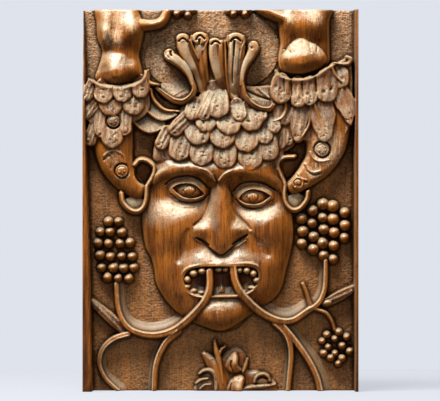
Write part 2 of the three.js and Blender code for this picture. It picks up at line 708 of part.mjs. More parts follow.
function vines() {
  // out of the mouth, down over the chin and up again to the bunches
  stem({
    line: [
      [209.5, 272], [210, 285], [208, 295], [203, 303], [196.5, 311], [188, 320], [178, 328],
      [168, 333], [158, 335.5], [148, 335.7], [138, 333.5], [129, 329], [123, 322], [119, 313],
      [117, 302], [116, 284],
    ],
    top: [0.9, 0.96, 0.98, 0.94, 0.86, 0.74, 0.62, 0.54, 0.5, 0.5, 0.5, 0.5, 0.48, 0.46, 0.44, 0.42],
    band: [1.2, 1.2, 1.1, 1.1, 1],
    bevel: [3, 5, 8, 9, 8, 7],
  });
  stem({
    line: [
      [233, 268], [235, 281], [240, 291], [247, 299.5], [255, 307.5], [264.5, 314.5], [275, 319.5],
      [285, 321.5], [294, 320], [303, 314.5], [311, 308.5],
    ],
    top: [0.92, 0.97, 0.98, 0.92, 0.8, 0.66, 0.58, 0.52, 0.5, 0.5, 0.5],
    band: [1.4, 1.3, 1.2, 1.1, 1.1],
    bevel: [3, 6, 8, 8, 7],
    turned: true,
  });
  stem({
    line: [[308, 311], [317, 305], [322, 298], [325, 289], [326, 277], [326, 261]],
    top: [0.5, 0.44],
    bevel: [5],
    turned: true,
  });
  strap({
    line: [[303, 284], [306.5, 292], [309, 301], [312, 309]],
    half: [2.2, 2.6],
    top: [0.42, 0.5],
    foot: 0.8,
  });
  // branches that leave the panel at its foot
  strap({
    line: [
      [128, 334], [116, 337.5], [107, 343.5], [101, 352], [99, 363], [101.5, 372], [107, 381],
      [118, 391],
    ],
    half: [4, 3.4, 3, 2.6, 2.4, 2.2, 2.2, 2.2],
    top: [0.48, 0.42],
    foot: 0.8,
  });
  strap({
    line: [[178, 332], [168, 340], [162, 349], [157.5, 360], [155, 372], [154, 394]],
    half: [3.6, 4, 3.6, 3, 2.8, 2.8],
    top: [0.5, 0.42],
    foot: 0.8,
  });
  strap({
    line: [[276, 323], [285, 332], [290, 343], [291.5, 357], [290, 374], [288, 394]],
    half: [4, 3.6, 2.6, 2.4, 2.6, 3],
    top: [0.5, 0.42],
    foot: 0.8,
  });
  stem({
    line: [[283, 326], [293, 338], [304, 353], [312, 366], [318, 380], [321, 394]],
    top: [0.5, 0.42],
    band: [0.7],
    bevel: [4, 7, 7],
    turned: true,
  });
  strap({
    line: [[316, 309], [326, 313], [332, 321], [335, 330]],
    half: [2.4, 2.2],
    top: [0.5, 0.4],
    foot: 0.8,
  });
  boss({ at: [328, 303], radii: [4.5, 3.2], top: 0.54, foot: 0.8 });
  // leaves that reach the margins
  leaf({ root: [122, 329], tip: [90, 300], half: 5.2, top: [0.32, 0.38] });
  leaf({ root: [326, 303], tip: [358, 287], half: 5.4, top: [0.38, 0.42] });
}

function bunches() {
  const grape = { top: 0.52 };
  grapes({
    rowStarts: [
      [108, 221, 2], [99.5, 232, 3], [98.5, 243.5, 4], [100, 256, 4], [102, 268, 4], [106.5, 278, 3],
    ],
    step: [10.6, 0],
    radius: squares(leftGrapeRadius),
    ...grape,
  });
  grapes({
    rowStarts: [
      [302.5, 218, 3], [313, 210.5, 4], [323.5, 204, 5], [333.5, 206.5, 5], [345, 212, 3],
    ],
    step: [0, 13],
    radius: squares(rightGrapeRadius),
    ...grape,
  });
  grapes({
    rowStarts: [[339.5, 331.5, 2], [327.5, 334, 4], [321.5, 342, 4], [323.5, 353, 3]],
    step: [7.2, 5.6],
    radius: squares(lowerGrapeRadius),
    ...grape,
  });
  grapes({
    rowStarts: [[171, 10, 3], [176.5, 14.5, 2], [228, 10, 3], [234, 14, 2]],
    step: [10.5, 0],
    radius: squares(topGrapeRadius),
    ...grape,
  });
}

// The sprig at the foot of the panel
function sprig() {
  leaf({ root: [219, 362], tip: [214, 340], half: 3.5, top: [0.4, 0.46] });
  strap({ line: [[225, 347], [219, 352], [217, 361]], half: [2, 2.4, 2], top: [0.42], foot: 0.6 });
  strap({ line: [[218, 358], [221, 372], [223, 394]], half: [2.5, 3, 3.5], top: [0.4], foot: 0.6 });
  leaf({ root: [225, 378], tip: [235, 354], half: 5, top: [0.4, 0.52] });
  strap({ line: [[230, 366], [235, 373], [243, 369]], half: [2.4, 3, 2], top: [0.44], foot: 0.6 });
  leaf({ root: [224, 394], tip: [240, 374], half: 5.5, top: [0.38, 0.46] });
  strap({
    line: [[254, 383], [257, 376], [264, 373], [270, 378], [271, 385]],
    half: [2, 2.6, 2.8, 2.6, 2],
    top: [0.42],
    foot: 0.6,
  });
  leaf({ root: [210, 372], tip: [201, 374], half: 3, top: [0.38, 0.42] });
  leaf({ root: [213, 384], tip: [195, 380], half: 4, top: [0.38, 0.44] });
  strap({ line: [[176, 391], [212, 389]], half: [3], top: [0.32], foot: 0.6 });
  strap({ line: [[238, 386], [274, 385]], half: [2.4], top: [0.4], foot: 0.6 });
}

// One pass that takes the sharpness off every wall, as tools and hands do
function soften() {
  const before = levels.slice();
  const at = (column, row) => {
    const inRow = Math.min(Math.max(row, 0), rows);
    return before[inRow * (columns + 1) + Math.min(Math.max(column, 0), columns)];
  };
  for (let row = 0; row <= rows; row++) {
    for (let column = 0; column <= columns; column++) {
      const sideways = at(column - 1, row) + at(column + 1, row);
      const upAndDown = at(column, row - 1) + at(column, row + 1);
      levels[row * (columns + 1) + column] = (4 * at(column, row) + sideways + upAndDown) / 8;
    }
  }
}

margins();
bunches();
sprig();
leftFigure();
rightFigure();
crest();
hair();
loops();
face();
vines();
soften();

// How far the carved front stands off the flat back at a sample
const groundThickness = panelThickness - reliefDepth;
const thicknessAt = (column, row) => {
  const level = Math.min(levels[row * (columns + 1) + column], 1);
  return groundThickness + reliefDepth * level;
};
const frontAt = ({ column, row }) => thicknessAt(column, row);

// Twice the area of a triangle, above zero when its corners turn the same way as the sheet's axes
function turn(a, b, c) {
  return (b.column - a.column) * (c.row - a.row) - (b.row - a.row) * (c.column - a.column);
}

// Whether a point lies inside the circle through three corners
function insideCircle(a, b, c, point) {
  const [ax, ay] = [a.column - point.column, a.row - point.row];
  const [bx, by] = [b.column - point.column, b.row - point.row];
  const [cx, cy] = [c.column - point.column, c.row - point.row];
  const [aa, bb, cc] = [ax * ax + ay * ay, bx * bx + by * by, cx * cx + cy * cy];
  return aa * (bx * cy - by * cx) - bb * (ax * cy - ay * cx) + cc * (ax * by - ay * bx) > 0;
}

const sheetCorners = [
  { column: 0, row: 0 },
  { column: columns, row: 0 },
  { column: columns, row: rows },
  { column: 0, row: rows },
];

// The front is a Delaunay net that grows by the sample it misses most, until its triangles are spent.
// Side k of triangle t runs from corner k to corner k + 1, and is numbered 3 t + k.
class Net {
  constructor() {
    this.corners = [];
    this.twins = [];
    this.worst = [];
    this.stale = [];
    const [a, b, c, d] = sheetCorners;
    const first = this.triangle(a, b, c, -1, -1, -1);
    this.triangle(a, c, d, first + 2, -1, -1);
  }

  get count() {
    return this.corners.length / 3;
  }

  // Writes a triangle with its three corners and the sides that it meets
  triangle(a, b, c, twinA, twinB, twinC, side = this.corners.length) {
    [a, b, c].forEach((corner, i) => {
      this.corners[side + i] = corner;
    });
    [twinA, twinB, twinC].forEach((twin, i) => {
      this.twins[side + i] = twin;
      if (twin >= 0) this.twins[twin] = side + i;
    });
    this.stale.push(side / 3);
    return side;
  }

  // The sample of a triangle that lies farthest from it, measured square to the carved surface
  measure(index) {
    const [a, b, c] = this.corners.slice(3 * index, 3 * index + 3);
    const area = turn(a, b, c);
    const heights = [a, b, c].map(frontAt);
    let worst = { error: 0, point: null };
    const lowRow = Math.min(a.row, b.row, c.row);
    const highRow = Math.max(a.row, b.row, c.row);
    const lowColumn = Math.min(a.column, b.column, c.column);
    const highColumn = Math.max(a.column, b.column, c.column);
    for (let row = lowRow; row <= highRow; row++) {
      for (let column = lowColumn; column <= highColumn; column++) {
        const point = { column, row };
        const shareA = turn(b, c, point);
        const shareB = turn(c, a, point);
        const shareC = turn(a, b, point);
        if (shareA < 0 || shareB < 0 || shareC < 0) continue;
        const flat = (shareA * heights[0] + shareB * heights[1] + shareC * heights[2]) / area;
        const square = uprightness[row * (columns + 1) + column];
        const error = Math.abs(flat - thicknessAt(column, row)) * square;
        const onCorner = Math.max(shareA, shareB, shareC) === area;
        if (error > worst.error && !onCorner) worst = { error, point };
      }
    }
    this.worst[index] = worst;
  }

  // Turns the shared side of two triangles where that makes them rounder, and then the sides around
  settle(side) {
    const twin = this.twins[side];
    if (twin < 0) return;
    const start = side - (side % 3);
    const twinStart = twin - (twin % 3);
    const after = start + ((side + 1) % 3);
    const before = start + ((side + 2) % 3);
    const twinAfter = twinStart + ((twin + 1) % 3);
    const twinBefore = twinStart + ((twin + 2) % 3);
    const [from, to, tip, far] = [side, after, before, twinBefore].map((place) => this.corners[place]);
    if (!insideCircle(from, to, tip, far)) return;
    const [outer, inner] = [after, before].map((place) => this.twins[place]);
    const [farOuter, farInner] = [twinAfter, twinBefore].map((place) => this.twins[place]);
    const first = this.triangle(tip, from, far, inner, farOuter, -1, start);
    const second = this.triangle(far, to, tip, farInner, outer, first + 2, twinStart);
    this.settle(first + 1);
    this.settle(second);
  }

  // Splits a triangle at a point inside it, or on one of its sides
  split(index, point) {
    const sides = [3 * index, 3 * index + 1, 3 * index + 2];
    const [a, b, c] = sides.map((side) => this.corners[side]);
    const [twinA, twinB, twinC] = sides.map((side) => this.twins[side]);
    const flatSide = [turn(a, b, point), turn(b, c, point), turn(c, a, point)].indexOf(0);
    if (flatSide < 0) {
      const one = this.triangle(a, b, point, twinA, -1, -1, 3 * index);
      const two = this.triangle(b, c, point, twinB, -1, one + 1);
      const three = this.triangle(c, a, point, twinC, one + 2, two + 1);
      [one, two, three].forEach((side) => this.settle(side));
      return;
    }
    this.splitSide(3 * index + flatSide, point);
  }

  splitSide(side, point) {
    const start = side - (side % 3);
    const after = start + ((side + 1) % 3);
    const before = start + ((side + 2) % 3);
    const [from, to, tip] = [side, after, before].map((place) => this.corners[place]);
    const [outer, inner] = [this.twins[after], this.twins[before]];
    const twin = this.twins[side];
    const one = this.triangle(tip, from, point, inner, -1, -1, start);
    const two = this.triangle(to, tip, point, outer, one + 2, -1);
    if (twin < 0) {
      [one, two].forEach((edge) => this.settle(edge));
      return;
    }
    const twinStart = twin - (twin % 3);
    const twinAfter = twinStart + ((twin + 1) % 3);
    const twinBefore = twinStart + ((twin + 2) % 3);
    const far = this.corners[twinBefore];
    const [farOuter, farInner] = [this.twins[twinAfter], this.twins[twinBefore]];
    const three = this.triangle(from, far, point, farOuter, -1, one + 1, twinStart);
    const four = this.triangle(far, to, point, farInner, two + 2, three + 1);
    [one, two, three, four].forEach((edge) => this.settle(edge));
  }

  // Adds the worst sample of all, again and again
  grow(most) {
    while (this.count < most) {
      new Set(this.stale).forEach((index) => this.measure(index));
      this.stale = [];
      let index = 0;
      this.worst.forEach((candidate, i) => {
        if (candidate.error > this.worst[index].error) index = i;
      });
      if (this.worst[index].error === 0) return;
      this.split(index, this.worst[index].point);
    }
  }
}

// Near walls a height that is off by much is off by little square to the wall
const uprightness = levels.map((level, sample) => {
  const column = sample % (columns + 1);
  const row = Math.floor(sample / (columns + 1));
  const left = thicknessAt(Math.max(column - 1, 0), row);
  const right = thicknessAt(Math.min(column + 1, columns), row);
  const above = thicknessAt(column, Math.max(row - 1, 0));
  const below = thicknessAt(column, Math.min(row + 1, rows));
  return 1 / Math.hypot(1, (right - left) / (2 * sampleStep), (below - above) / (2 * sampleStep));
});

// The closed solid: the net as its front, four flat sides cut square, and a flat back
function carvedPanel() {
  const net = new Net();
  net.grow(frontTriangles);
  const positions = [];
  const index = [];
  const numbers = new Map();
  const vertex = ({ column, row }, thickness) => {
    const key = `${column} ${row} ${thickness > 0}`;
    if (!numbers.has(key)) {
      numbers.set(key, numbers.size);
      const [across, down] = [column / columns, row / rows];
      positions.push((across - 0.5) * panelWidth, 0 - thickness, (0.5 - down) * panelHeight);
    }
    return numbers.get(key);
  };
  const front = (corner) => vertex(corner, frontAt(corner));
  const back = (corner) => vertex(corner, 0);
  for (let side = 0; side < net.corners.length; side += 3) {
    const [a, b, c] = net.corners.slice(side, side + 3).map(front);
    index.push(a, c, b);
  }
  sheetCorners.forEach((start, i) => {
    const end = sheetCorners[(i + 1) % sheetCorners.length];
    const step = start.row === end.row ? panelWidth / columns : panelHeight / rows;
    const reach = ({ column, row }) => step * Math.abs(column - start.column + row - start.row);
    // every outer side of the net starts at one corner of the rim
    const onRim = (corner, side) => net.twins[side] < 0 && turn(start, end, corner) === 0;
    const rim = net.corners.filter(onRim).filter((corner) => reach(corner) < reach(end));
    rim.sort((one, other) => reach(one) - reach(other));
    const edge = [...rim, end];
    const outline = edge.map((corner) => new THREE.Vector2(reach(corner), frontAt(corner)));
    outline.push(new THREE.Vector2(reach(end), 0), new THREE.Vector2(0, 0));
    const ring = [...edge.map(front), back(end), back(start)];
    THREE.ShapeUtils.triangulateShape(outline, []).forEach((places) => {
      const area = THREE.ShapeUtils.area(places.map((place) => outline[place]));
      const [a, b, c] = places.map((place) => ring[place]);
      index.push(...(area > 0 ? [a, c, b] : [a, b, c]));
    });
  });
  const [a, b, c, d] = sheetCorners.map(back);
  index.push(a, b, c, a, c, d);
  const geometry = new THREE.BufferGeometry();
  geometry.setAttribute('position', new THREE.Float32BufferAttribute(positions, 3));
  geometry.setIndex(index);
  geometry.computeVertexNormals();
  return geometry;
}

const oak = new THREE.MeshStandardMaterial({ color: 0x7a4520, roughness: 0.45, metalness: 0 });
const panel = new THREE.Mesh(carvedPanel(), oak);
panel.name = 'green_man_panel';

const part = new THREE.Group();
part.add(panel);

export default part;
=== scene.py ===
import math

import bpy
import numpy as np
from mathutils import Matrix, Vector


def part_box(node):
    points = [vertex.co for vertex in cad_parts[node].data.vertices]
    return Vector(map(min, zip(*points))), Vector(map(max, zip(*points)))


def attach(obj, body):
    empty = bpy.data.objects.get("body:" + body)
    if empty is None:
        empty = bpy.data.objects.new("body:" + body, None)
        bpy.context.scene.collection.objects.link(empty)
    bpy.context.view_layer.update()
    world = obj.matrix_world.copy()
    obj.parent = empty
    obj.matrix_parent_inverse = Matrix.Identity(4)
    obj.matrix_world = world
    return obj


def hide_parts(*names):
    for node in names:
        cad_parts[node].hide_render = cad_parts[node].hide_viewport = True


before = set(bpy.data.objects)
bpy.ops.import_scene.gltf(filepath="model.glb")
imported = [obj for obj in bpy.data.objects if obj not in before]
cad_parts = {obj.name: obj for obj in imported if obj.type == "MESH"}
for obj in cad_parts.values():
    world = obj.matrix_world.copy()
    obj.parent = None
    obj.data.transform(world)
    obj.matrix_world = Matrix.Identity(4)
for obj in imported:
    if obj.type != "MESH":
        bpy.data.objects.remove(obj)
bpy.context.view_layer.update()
panelLow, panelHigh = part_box("green_man_panel")

# The carving is drawn on a squared sheet, counted across and down from its top left corner,
# and the panel covers this part of it. Levels run from 0 on the ground to 1 on the plank's face.
sheet = {"left": 83.0, "right": 358.0, "top": 10.0, "bottom": 391.0}

carving = {
    "reliefDepth": 0.038,     # metres from the face of the plank down to the sunk ground
    "sampleStep": 0.00072,    # metres between the samples of the carved front
    "wallSpread": 0.8,        # squares over which the walls fall
    "meltWidth": 0.05,        # levels over which two melting forms round into each other
    "triangles": 192000,      # of the finished panel
    "smoothAngle": 62,        # degrees; sharper edges stay crisp
    "brokenEdge": 0.02,       # how far the cut edges are rubbed down, as a level
    "backStep": 4,            # the back has one sample for so many of the front
    "backWaviness": 0.0004,   # metres, saw marks of the back
    "backWaves": 900,         # radians to the metre
    "backSkin": 0.002,        # metres; nothing behind this takes the carved finish
    "seed": 7,
}

panelWidth = panelHigh.x - panelLow.x
panelHeight = panelHigh.z - panelLow.z
panelThickness = panelHigh.y - panelLow.y
square = panelWidth / (sheet["right"] - sheet["left"])
groundThickness = panelThickness - carving["reliefDepth"]

backStep = carving["backStep"]
columns = backStep * round(panelWidth / carving["sampleStep"] / backStep)
rows = backStep * round(panelHeight / carving["sampleStep"] / backStep)
across = np.linspace(sheet["left"], sheet["right"], columns + 1)
down = np.linspace(sheet["top"], sheet["bottom"], rows + 1)
acrossStep = across[1] - across[0]
downStep = down[1] - down[0]
finishNames = ("skin", "leaf", "pale", "vine", "grape", "slope", "plank")

# what the carver has done so far: the level of every sample, its finish, and how much paler or darker the wax
# is, which also holds painted highlights and painted shade
levels = np.zeros((rows + 1, columns + 1))
finishes = {name: np.zeros_like(levels) for name in finishNames}
wearAndPaintedLight = np.zeros_like(levels)


# sections over a band, from 1 in the middle to 0 at its edge
def roundTop(aside):
    return np.sqrt(np.clip(1 - aside * aside, 0, 1))


def softTop(aside):
    return np.clip(1 - aside * aside, 0, 1) ** 2


def flatTop(aside):
    return np.sqrt(np.clip(1 - aside ** 4, 0, 1))


# a broad roll with soft shoulders
def rolled(aside):
    return np.clip(1 - np.abs(aside) ** 2.4, 0, 1) ** 0.75


# from 0 at an outline up to 1 at the given depth inside it
def shoulder(depth, width):
    return roundTop(1 - np.minimum(depth / width, 1))


# a value set at even steps along a line
def mixed(stations, along):
    if len(stations) == 1:
        return np.full_like(along, stations[0])
    return np.interp(along, np.linspace(0, 1, len(stations)), stations)


# a smooth line through the points of a drawn one
def spline(line):
    steps = 6    # from one point to the next
    p = np.array(line, float)
    out = []
    for i in range(len(p) - 1):
        before, start, end, after = p[max(i - 1, 0)], p[i], p[i + 1], p[min(i + 2, len(p) - 1)]
        leaving, arriving = (end - before) / 2, (after - start) / 2
        for t in np.arange(steps) / steps:
            out.append((2 * start - 2 * end + leaving + arriving) * t ** 3
                       + (-3 * start + 3 * end - 2 * leaving - arriving) * t ** 2 + leaving * t + start)
    out.append(p[-1])
    return np.array(out)


# the rows and columns of samples inside a rectangle of the sheet
def windowOf(x0, x1, y0, y1):
    slack = 1e-6    # so that rounding never leaves out the last row or column
    c0 = max(0, math.ceil((x0 - sheet["left"]) / acrossStep - slack))
    c1 = min(columns, math.floor((x1 - sheet["left"]) / acrossStep + slack))
    r0 = max(0, math.ceil((y0 - sheet["top"]) / downStep - slack))
    r1 = min(rows, math.floor((y1 - sheet["top"]) / downStep + slack))
    if c1 < c0 or r1 < r0:
        return None
    return slice(r0, r1 + 1), slice(c0, c1 + 1)


def windowAround(points, reach):
    low, high = points.min(0) - reach, points.max(0) + reach
    return windowOf(low[0], high[0], low[1], high[1])


def placesIn(box):
    return across[box[1]][None, :], down[box[0]][:, None]


# the window around an oval spot, and how far out each sample lies, which is 1 at its rim
def spotAt(at, radii, spare=0):
    rx, ry = radii
    box = windowOf(at[0] - rx - spare, at[0] + rx + spare, at[1] - ry - spare, at[1] + ry + spare)
    x, y = placesIn(box)
    return box, np.hypot((x - at[0]) / rx, (y - at[1]) / ry)


# how far every sample of a window lies beside a line, how far along it, and on which side
def beside(points, box, reach):
    x, y = placesIn(box)
    shape = (y.shape[0], x.shape[1])
    nearest = np.full(shape, 1e6)
    along = np.zeros(shape)
    side = np.ones(shape)
    firstRow, firstColumn = box[0].start, box[1].start
    count = len(points) - 1
    for i in range(count):
        (ax, ay), (bx, by) = points[i], points[i + 1]
        part = windowAround(points[i:i + 2], reach)
        if part is None:
            continue
        near = (slice(max(part[0].start - firstRow, 0), min(part[0].stop - firstRow, shape[0])),
                slice(max(part[1].start - firstColumn, 0), min(part[1].stop - firstColumn, shape[1])))
        if near[0].stop <= near[0].start or near[1].stop <= near[1].start:
            continue
        fromX, fromY = x[:, near[1]] - ax, y[near[0]] - ay
        runX, runY = bx - ax, by - ay
        share = np.clip((fromX * runX + fromY * runY) / max(runX * runX + runY * runY, 1e-9), 0, 1)
        away = np.hypot(fromX - share * runX, fromY - share * runY)
        closer = away < nearest[near]
        nearest[near] = np.where(closer, away, nearest[near])
        along[near] = np.where(closer, (i + share) / count, along[near])
        side[near] = np.where(closer, np.where(runX * fromY - runY * fromX < 0, -1, 1), side[near])
    return nearest, along, side


# joins a form to what is carved already; cover fades its wall over a short way,
# and ground, which has no grid of its own, clears the finishes that were there
def lay(box, level, cover, join="higher", finish=None):
    before = levels[box].copy()
    if join == "melt":
        melt = carving["meltWidth"]
        gap = before - level
        after = (before + level + np.sqrt(gap * gap + melt * melt)) / 2
        after = np.where(gap > 3 * melt, before, after)
    elif join == "lower":
        after = np.minimum(before, level)
    elif join == "add":
        after = before + level
    else:
        after = np.maximum(before, level)
    levels[box] = before + (after - before) * cover
    if finish is None or join == "add":
        return
    won = cover * (np.abs(after - before) > 1e-6)
    for name, grid in finishes.items():
        grid[box] += ((1.0 if name == finish else 0.0) - grid[box]) * won


def coverOf(depthInside):
    return np.clip(depthInside / carving["wallSpread"] + 0.5, 0, 1)


# a band along a line; half widths and levels are set at even steps along it,
# and left gives it other half widths on the left of the way it runs
def strap(line, half, top, foot=0.55, section=roundTop, left=None, join="higher", finish="skin"):
    points = spline(line)
    left = left or half
    reach = max(*half, *left) + 1
    box = windowAround(points, reach)
    nearest, along, side = beside(points, box, reach)
    width = np.where(side < 0, mixed(left, along), mixed(half, along))
    shape = section(np.clip(nearest / np.maximum(width, 0.01), 0, 1))
    cover = 1.0 if join == "add" else coverOf(width - nearest)
    lay(box, mixed(top, along) * (foot + (1 - foot) * shape), cover, join, finish)


def groove(line, half, depth):
    strap(line, half, [-depth], foot=0, section=softTop, join="add")


def ridge(line, half, rise):
    groove(line, half, -rise)


# an oval knob
def boss(at, radii, top, foot=0.5, join="higher", finish="skin", section=roundTop):
    box, aside = spotAt(at, radii, 1)
    lay(box, top * (foot + (1 - foot) * section(aside)), coverOf((1 - aside) * min(radii)), join, finish)


# a soft mass that grows out of what lies around it, with no wall of its own
def mass(at, radii, top, power=2.0):
    box, aside = spotAt(at, radii)
    before = levels[box]
    lay(box, before + np.maximum(top - before, 0) * (1 - np.clip(aside, 0, 1) ** power) ** (2 / power), 1.0)


def swell(at, radii, rise):
    box, aside = spotAt(at, radii)
    lay(box, rise * softTop(aside), 1.0, "add")


# a form inside a closed outline; its level is a number, or worked out from depth inside and place
def field(outline, level, join="higher", finish="skin", reach=24):
    points = spline([*outline, outline[0]])
    box = windowAround(points, 1)
    x, y = placesIn(box)
    inside = np.zeros((y.shape[0], x.shape[1]), bool)
    for (ax, ay), (bx, by) in zip(points, points[1:]):
        if ay != by:
            crosses = (ay > y) != (by > y)
            inside ^= crosses & (x < ax + (y - ay) / (by - ay) * (bx - ax))
    depth = np.minimum(beside(points, box, reach)[0], reach)
    if callable(level):
        level = level(np.where(inside, depth, 0), x, y)
    lay(box, level, coverOf(np.where(inside, depth, -depth)), join, finish)


# the smoothest surface through a few given levels, each one (across, down, level)
def surfaceThrough(spots):
    p = np.array(spots, float)
    count = len(p)
    gap = (p[:, None, 0] - p[None, :, 0]) ** 2 + (p[:, None, 1] - p[None, :, 1]) ** 2
    plane = np.c_[np.ones(count), p[:, :2]]
    whole = np.zeros((count + 3, count + 3))
    whole[:count, :count] = gap * np.log(gap + 1e-9)
    whole[:count, count:] = plane
    whole[count:, :count] = plane.T
    weights = np.linalg.solve(whole, np.r_[p[:, 2], 0, 0, 0])

    def level(x, y):
        total = weights[count] + weights[count + 1] * x + weights[count + 2] * y
        for (px, py, _), weight in zip(p, weights):
            away = (x - px) ** 2 + (y - py) ** 2
            total = total + weight * away * np.log(away + 1e-9)
        return total

    return level


# a modelled form inside an outline, that turns back to the edge level over the given width
def form(outline, spots, edge, width):
    surface = surfaceThrough(spots)
    field(outline, lambda depth, x, y: edge + (surface(x, y) - edge) * shoulder(depth, width),
          reach=width + 2)


# makes the finish paler, for rubbed wax and painted highlights, and darker where the amount is negative, for
# thick wax and painted shade
def wearAndLightSpot(at, radii, amount):
    box, aside = spotAt(at, radii)
    wearAndPaintedLight[box] += amount * softTop(aside)


def wearAndLightLine(points, half, amount):
    box = windowAround(points, half)
    wearAndPaintedLight[box] += amount * softTop(beside(points, box, half)[0] / half)


chance = np.random.default_rng(carving["seed"])

leafCut = {
    "crown": 0.036,          # its middle stands up by this level
    "rim": 0.012,            # and its edge ends in a thin raised line
    "rimAt": 0.92,           # where that line runs, 1 being the edge
    "bareRim": 0.83,         # from here out to the edge, most of the dust is worn off
    "bareShare": 0.85,
    "rootWidth": 0.85,       # as a share of the half width
    "rootShade": 0.6,        # painted shade: how brown it stays under the row above
    "tipLight": 0.45,        # and a painted highlight: how pale it is towards the tip
    "lightAt": (0.62, -0.15),      # where that painted highlight sits, along and aside, as shares of its length and half width
    "lightSpread": (0.45, 0.9),
    "gouge": 0.017,          # tool marks that run down the leaf
    "tilt": 0.05,            # each one leans a little to one side
    "waver": 0.03,           # how uneven the edge is, as a share of the half width
    "pitSize": (1.7, 1.5),   # squares
    "pitDepth": 0.04,
}


# a tongue-shaped leaf that comes forward from its root to its round tip
def leaf(root, tip, half, top, pits=0, bend=0, point=0, gouges=3.1):
    start, end = np.array(root, float), np.array(tip, float)
    length = np.hypot(*(end - start))
    run = (end - start) / length
    stop = start + (end - start) * (1 - min(half * (1 - point) / length, 0.6))
    middle = (start + stop) / 2 + bend * np.array([start[1] - end[1], end[0] - start[0]]) / length
    points = spline([root, middle, stop])
    reach = 1.15 * half + 1
    box = windowAround(points, reach)
    nearest, along, _ = beside(points, box, reach)
    x, y = placesIn(box)
    sideways = ((x - start[0]) * run[1] - (y - start[1]) * run[0]) / half
    forward = ((x - start[0]) * run[0] + (y - start[1]) * run[1]) / length
    lean, shift, wave = chance.uniform(-1, 1), chance.uniform(0, 6), chance.uniform(1, 3)
    turn = np.arctan2(sideways * half, (forward - 0.7) * length)
    width = mixed([leafCut["rootWidth"] * half, half, (1 - point) * half], along)
    width = width * (1 + leafCut["waver"] * np.sin((2 + wave) * turn + shift))
    aside = np.clip(nearest / width, 0, 1)
    level = top[0] + (top[1] - top[0]) * np.sin(0.5 * math.pi * np.clip(forward * 1.1, 0, 1))
    level = level + leafCut["crown"] * (1 - aside ** 2)
    level = level + leafCut["rim"] * np.exp(-((aside - leafCut["rimAt"]) / 0.08) ** 2)
    strokes = np.cos(math.pi * gouges * sideways + shift + wave * forward)
    level = level + leafCut["gouge"] * strokes * (1 - aside ** 4)
    level = level + leafCut["tilt"] * lean * np.clip(sideways, -1, 1)
    lay(box, level, coverOf(width - nearest), "higher", "leaf")
    # painted shade under the row above, a painted highlight towards the tip, and bare along the rim
    won = (nearest < width) * (levels[box] < level + 1e-6)
    shade = leafCut["rootShade"] * np.clip(1 - 1.7 * forward, 0, 1)
    (lightX, lightY), (spreadX, spreadY) = leafCut["lightAt"], leafCut["lightSpread"]
    light = softTop(np.hypot((forward - lightX) / spreadX, (sideways - lightY) / spreadY))
    light = leafCut["tipLight"] * light
    wearAndPaintedLight[box] += (light - shade - wearAndPaintedLight[box]) * won
    bare = leafCut["bareShare"] * np.clip((aside - leafCut["bareRim"]) * 12, 0, 1) * won
    finishes["skin"][box] += bare * finishes["leaf"][box]
    finishes["leaf"][box] *= 1 - bare
    for _ in range(pits):
        at = end - run * half * chance.uniform(0.5, 1.3) + chance.uniform(-0.4, 0.4, 2) * half
        swell(at, leafCut["pitSize"], -leafCut["pitDepth"])


def onCircle(at, radius, turn):
    return at[0] + radius * math.cos(turn), at[1] + radius * math.sin(turn)


# a pitted button in a sunk ring
def ringedBoss(at, radius, floor, top, finish, section):
    boss(at, (1.3 * radius, 1.3 * radius), floor, foot=1, join="lower", finish=finish)
    boss(at, (radius, radius), top, foot=0.9, section=section, finish=finish)
    groove([onCircle(at, 0.72 * radius, t) for t in np.arange(13) * math.pi / 6], [0.16 * radius], 0.05)
    for turn in np.arange(5) * 1.26 + chance.uniform(0, 1):
        swell(onCircle(at, 0.45 * radius, turn), (1.1, 1.1), -0.04)


ring = {
    # the ground stands a little higher inside the round field that the crest is set in
    "outline": [(168, 27), (180, 18), (200, 6), (220, 4), (240, 6), (257, 16), (268, 24), (276, 34),
                (280.5, 48), (277, 63), (266, 78), (240, 90), (200, 90), (165, 84), (150, 74), (144.5, 62),
                (148, 46), (156, 34)],
    "level": 0.06,      # at its edge
    "dish": 0.25,       # it is hollowed by this share of the level
    "dishWidth": 6,     # squares
}


def carveRing():
    def level(depth, x, y):
        return ring["level"] * (1 - ring["dish"] * np.clip(depth / ring["dishWidth"], 0, 1))

    field(ring["outline"], level, finish=None)


margins = {
    "rightWidth": 3.67,            # squares
    "rightWaver": (0.35, 0.021),   # squares, and radians to the square
    "leftWidth": (0.37, 9.9),      # squares, at the top and at the foot
    "leftWaver": (0.3, 0.03),
    "fullWidth": 2.93,             # a narrower margin is lower
}


def carveMargins():
    box = windowOf(sheet["left"], sheet["right"], sheet["top"], sheet["bottom"])
    x, y = placesIn(box)
    amount, turns = margins["rightWaver"]
    inner = sheet["right"] - margins["rightWidth"] + amount * np.sin(y * turns)
    lay(box, 1.0, coverOf(x - inner), "higher", "plank")
    share = (y - sheet["top"]) / (sheet["bottom"] - sheet["top"])
    width = np.interp(share, (0, 1), margins["leftWidth"])
    level = np.minimum(width / margins["fullWidth"], 1)
    amount, turns = margins["leftWaver"]
    lay(box, level, coverOf(sheet["left"] + width + amount * np.sin(y * turns) - x), "higher", "plank")


grapes = {
    "level": 0.52,
    "levelSpread": (-0.03, 0.02),
    "sizeSpread": (0.86, 1.06),
    "drift": 0.9,                   # squares, how far one may sit off its place
    "bunches": [
        # first grape of each row and its count, the step along the row, and the radius
        ([(108, 221, 2), (99.5, 232, 3), (98.5, 243.5, 4), (100, 256, 4), (102, 268, 4), (106.5, 278, 3)],
         (10.6, 0), 5.0),
        ([(302.5, 218, 3), (313, 210.5, 4), (323.5, 204, 5), (333.5, 206.5, 5), (345, 212, 3)], (0, 13), 6.0),
        ([(339.5, 331.5, 2), (327.5, 334, 4), (321.5, 342, 4), (323.5, 353, 3)], (7.2, 5.6), 4.1),
        ([(171, 10, 3), (176.5, 14.5, 2), (228, 10, 3), (234, 14, 2)], (10.5, 0), 4.0),
    ],
}


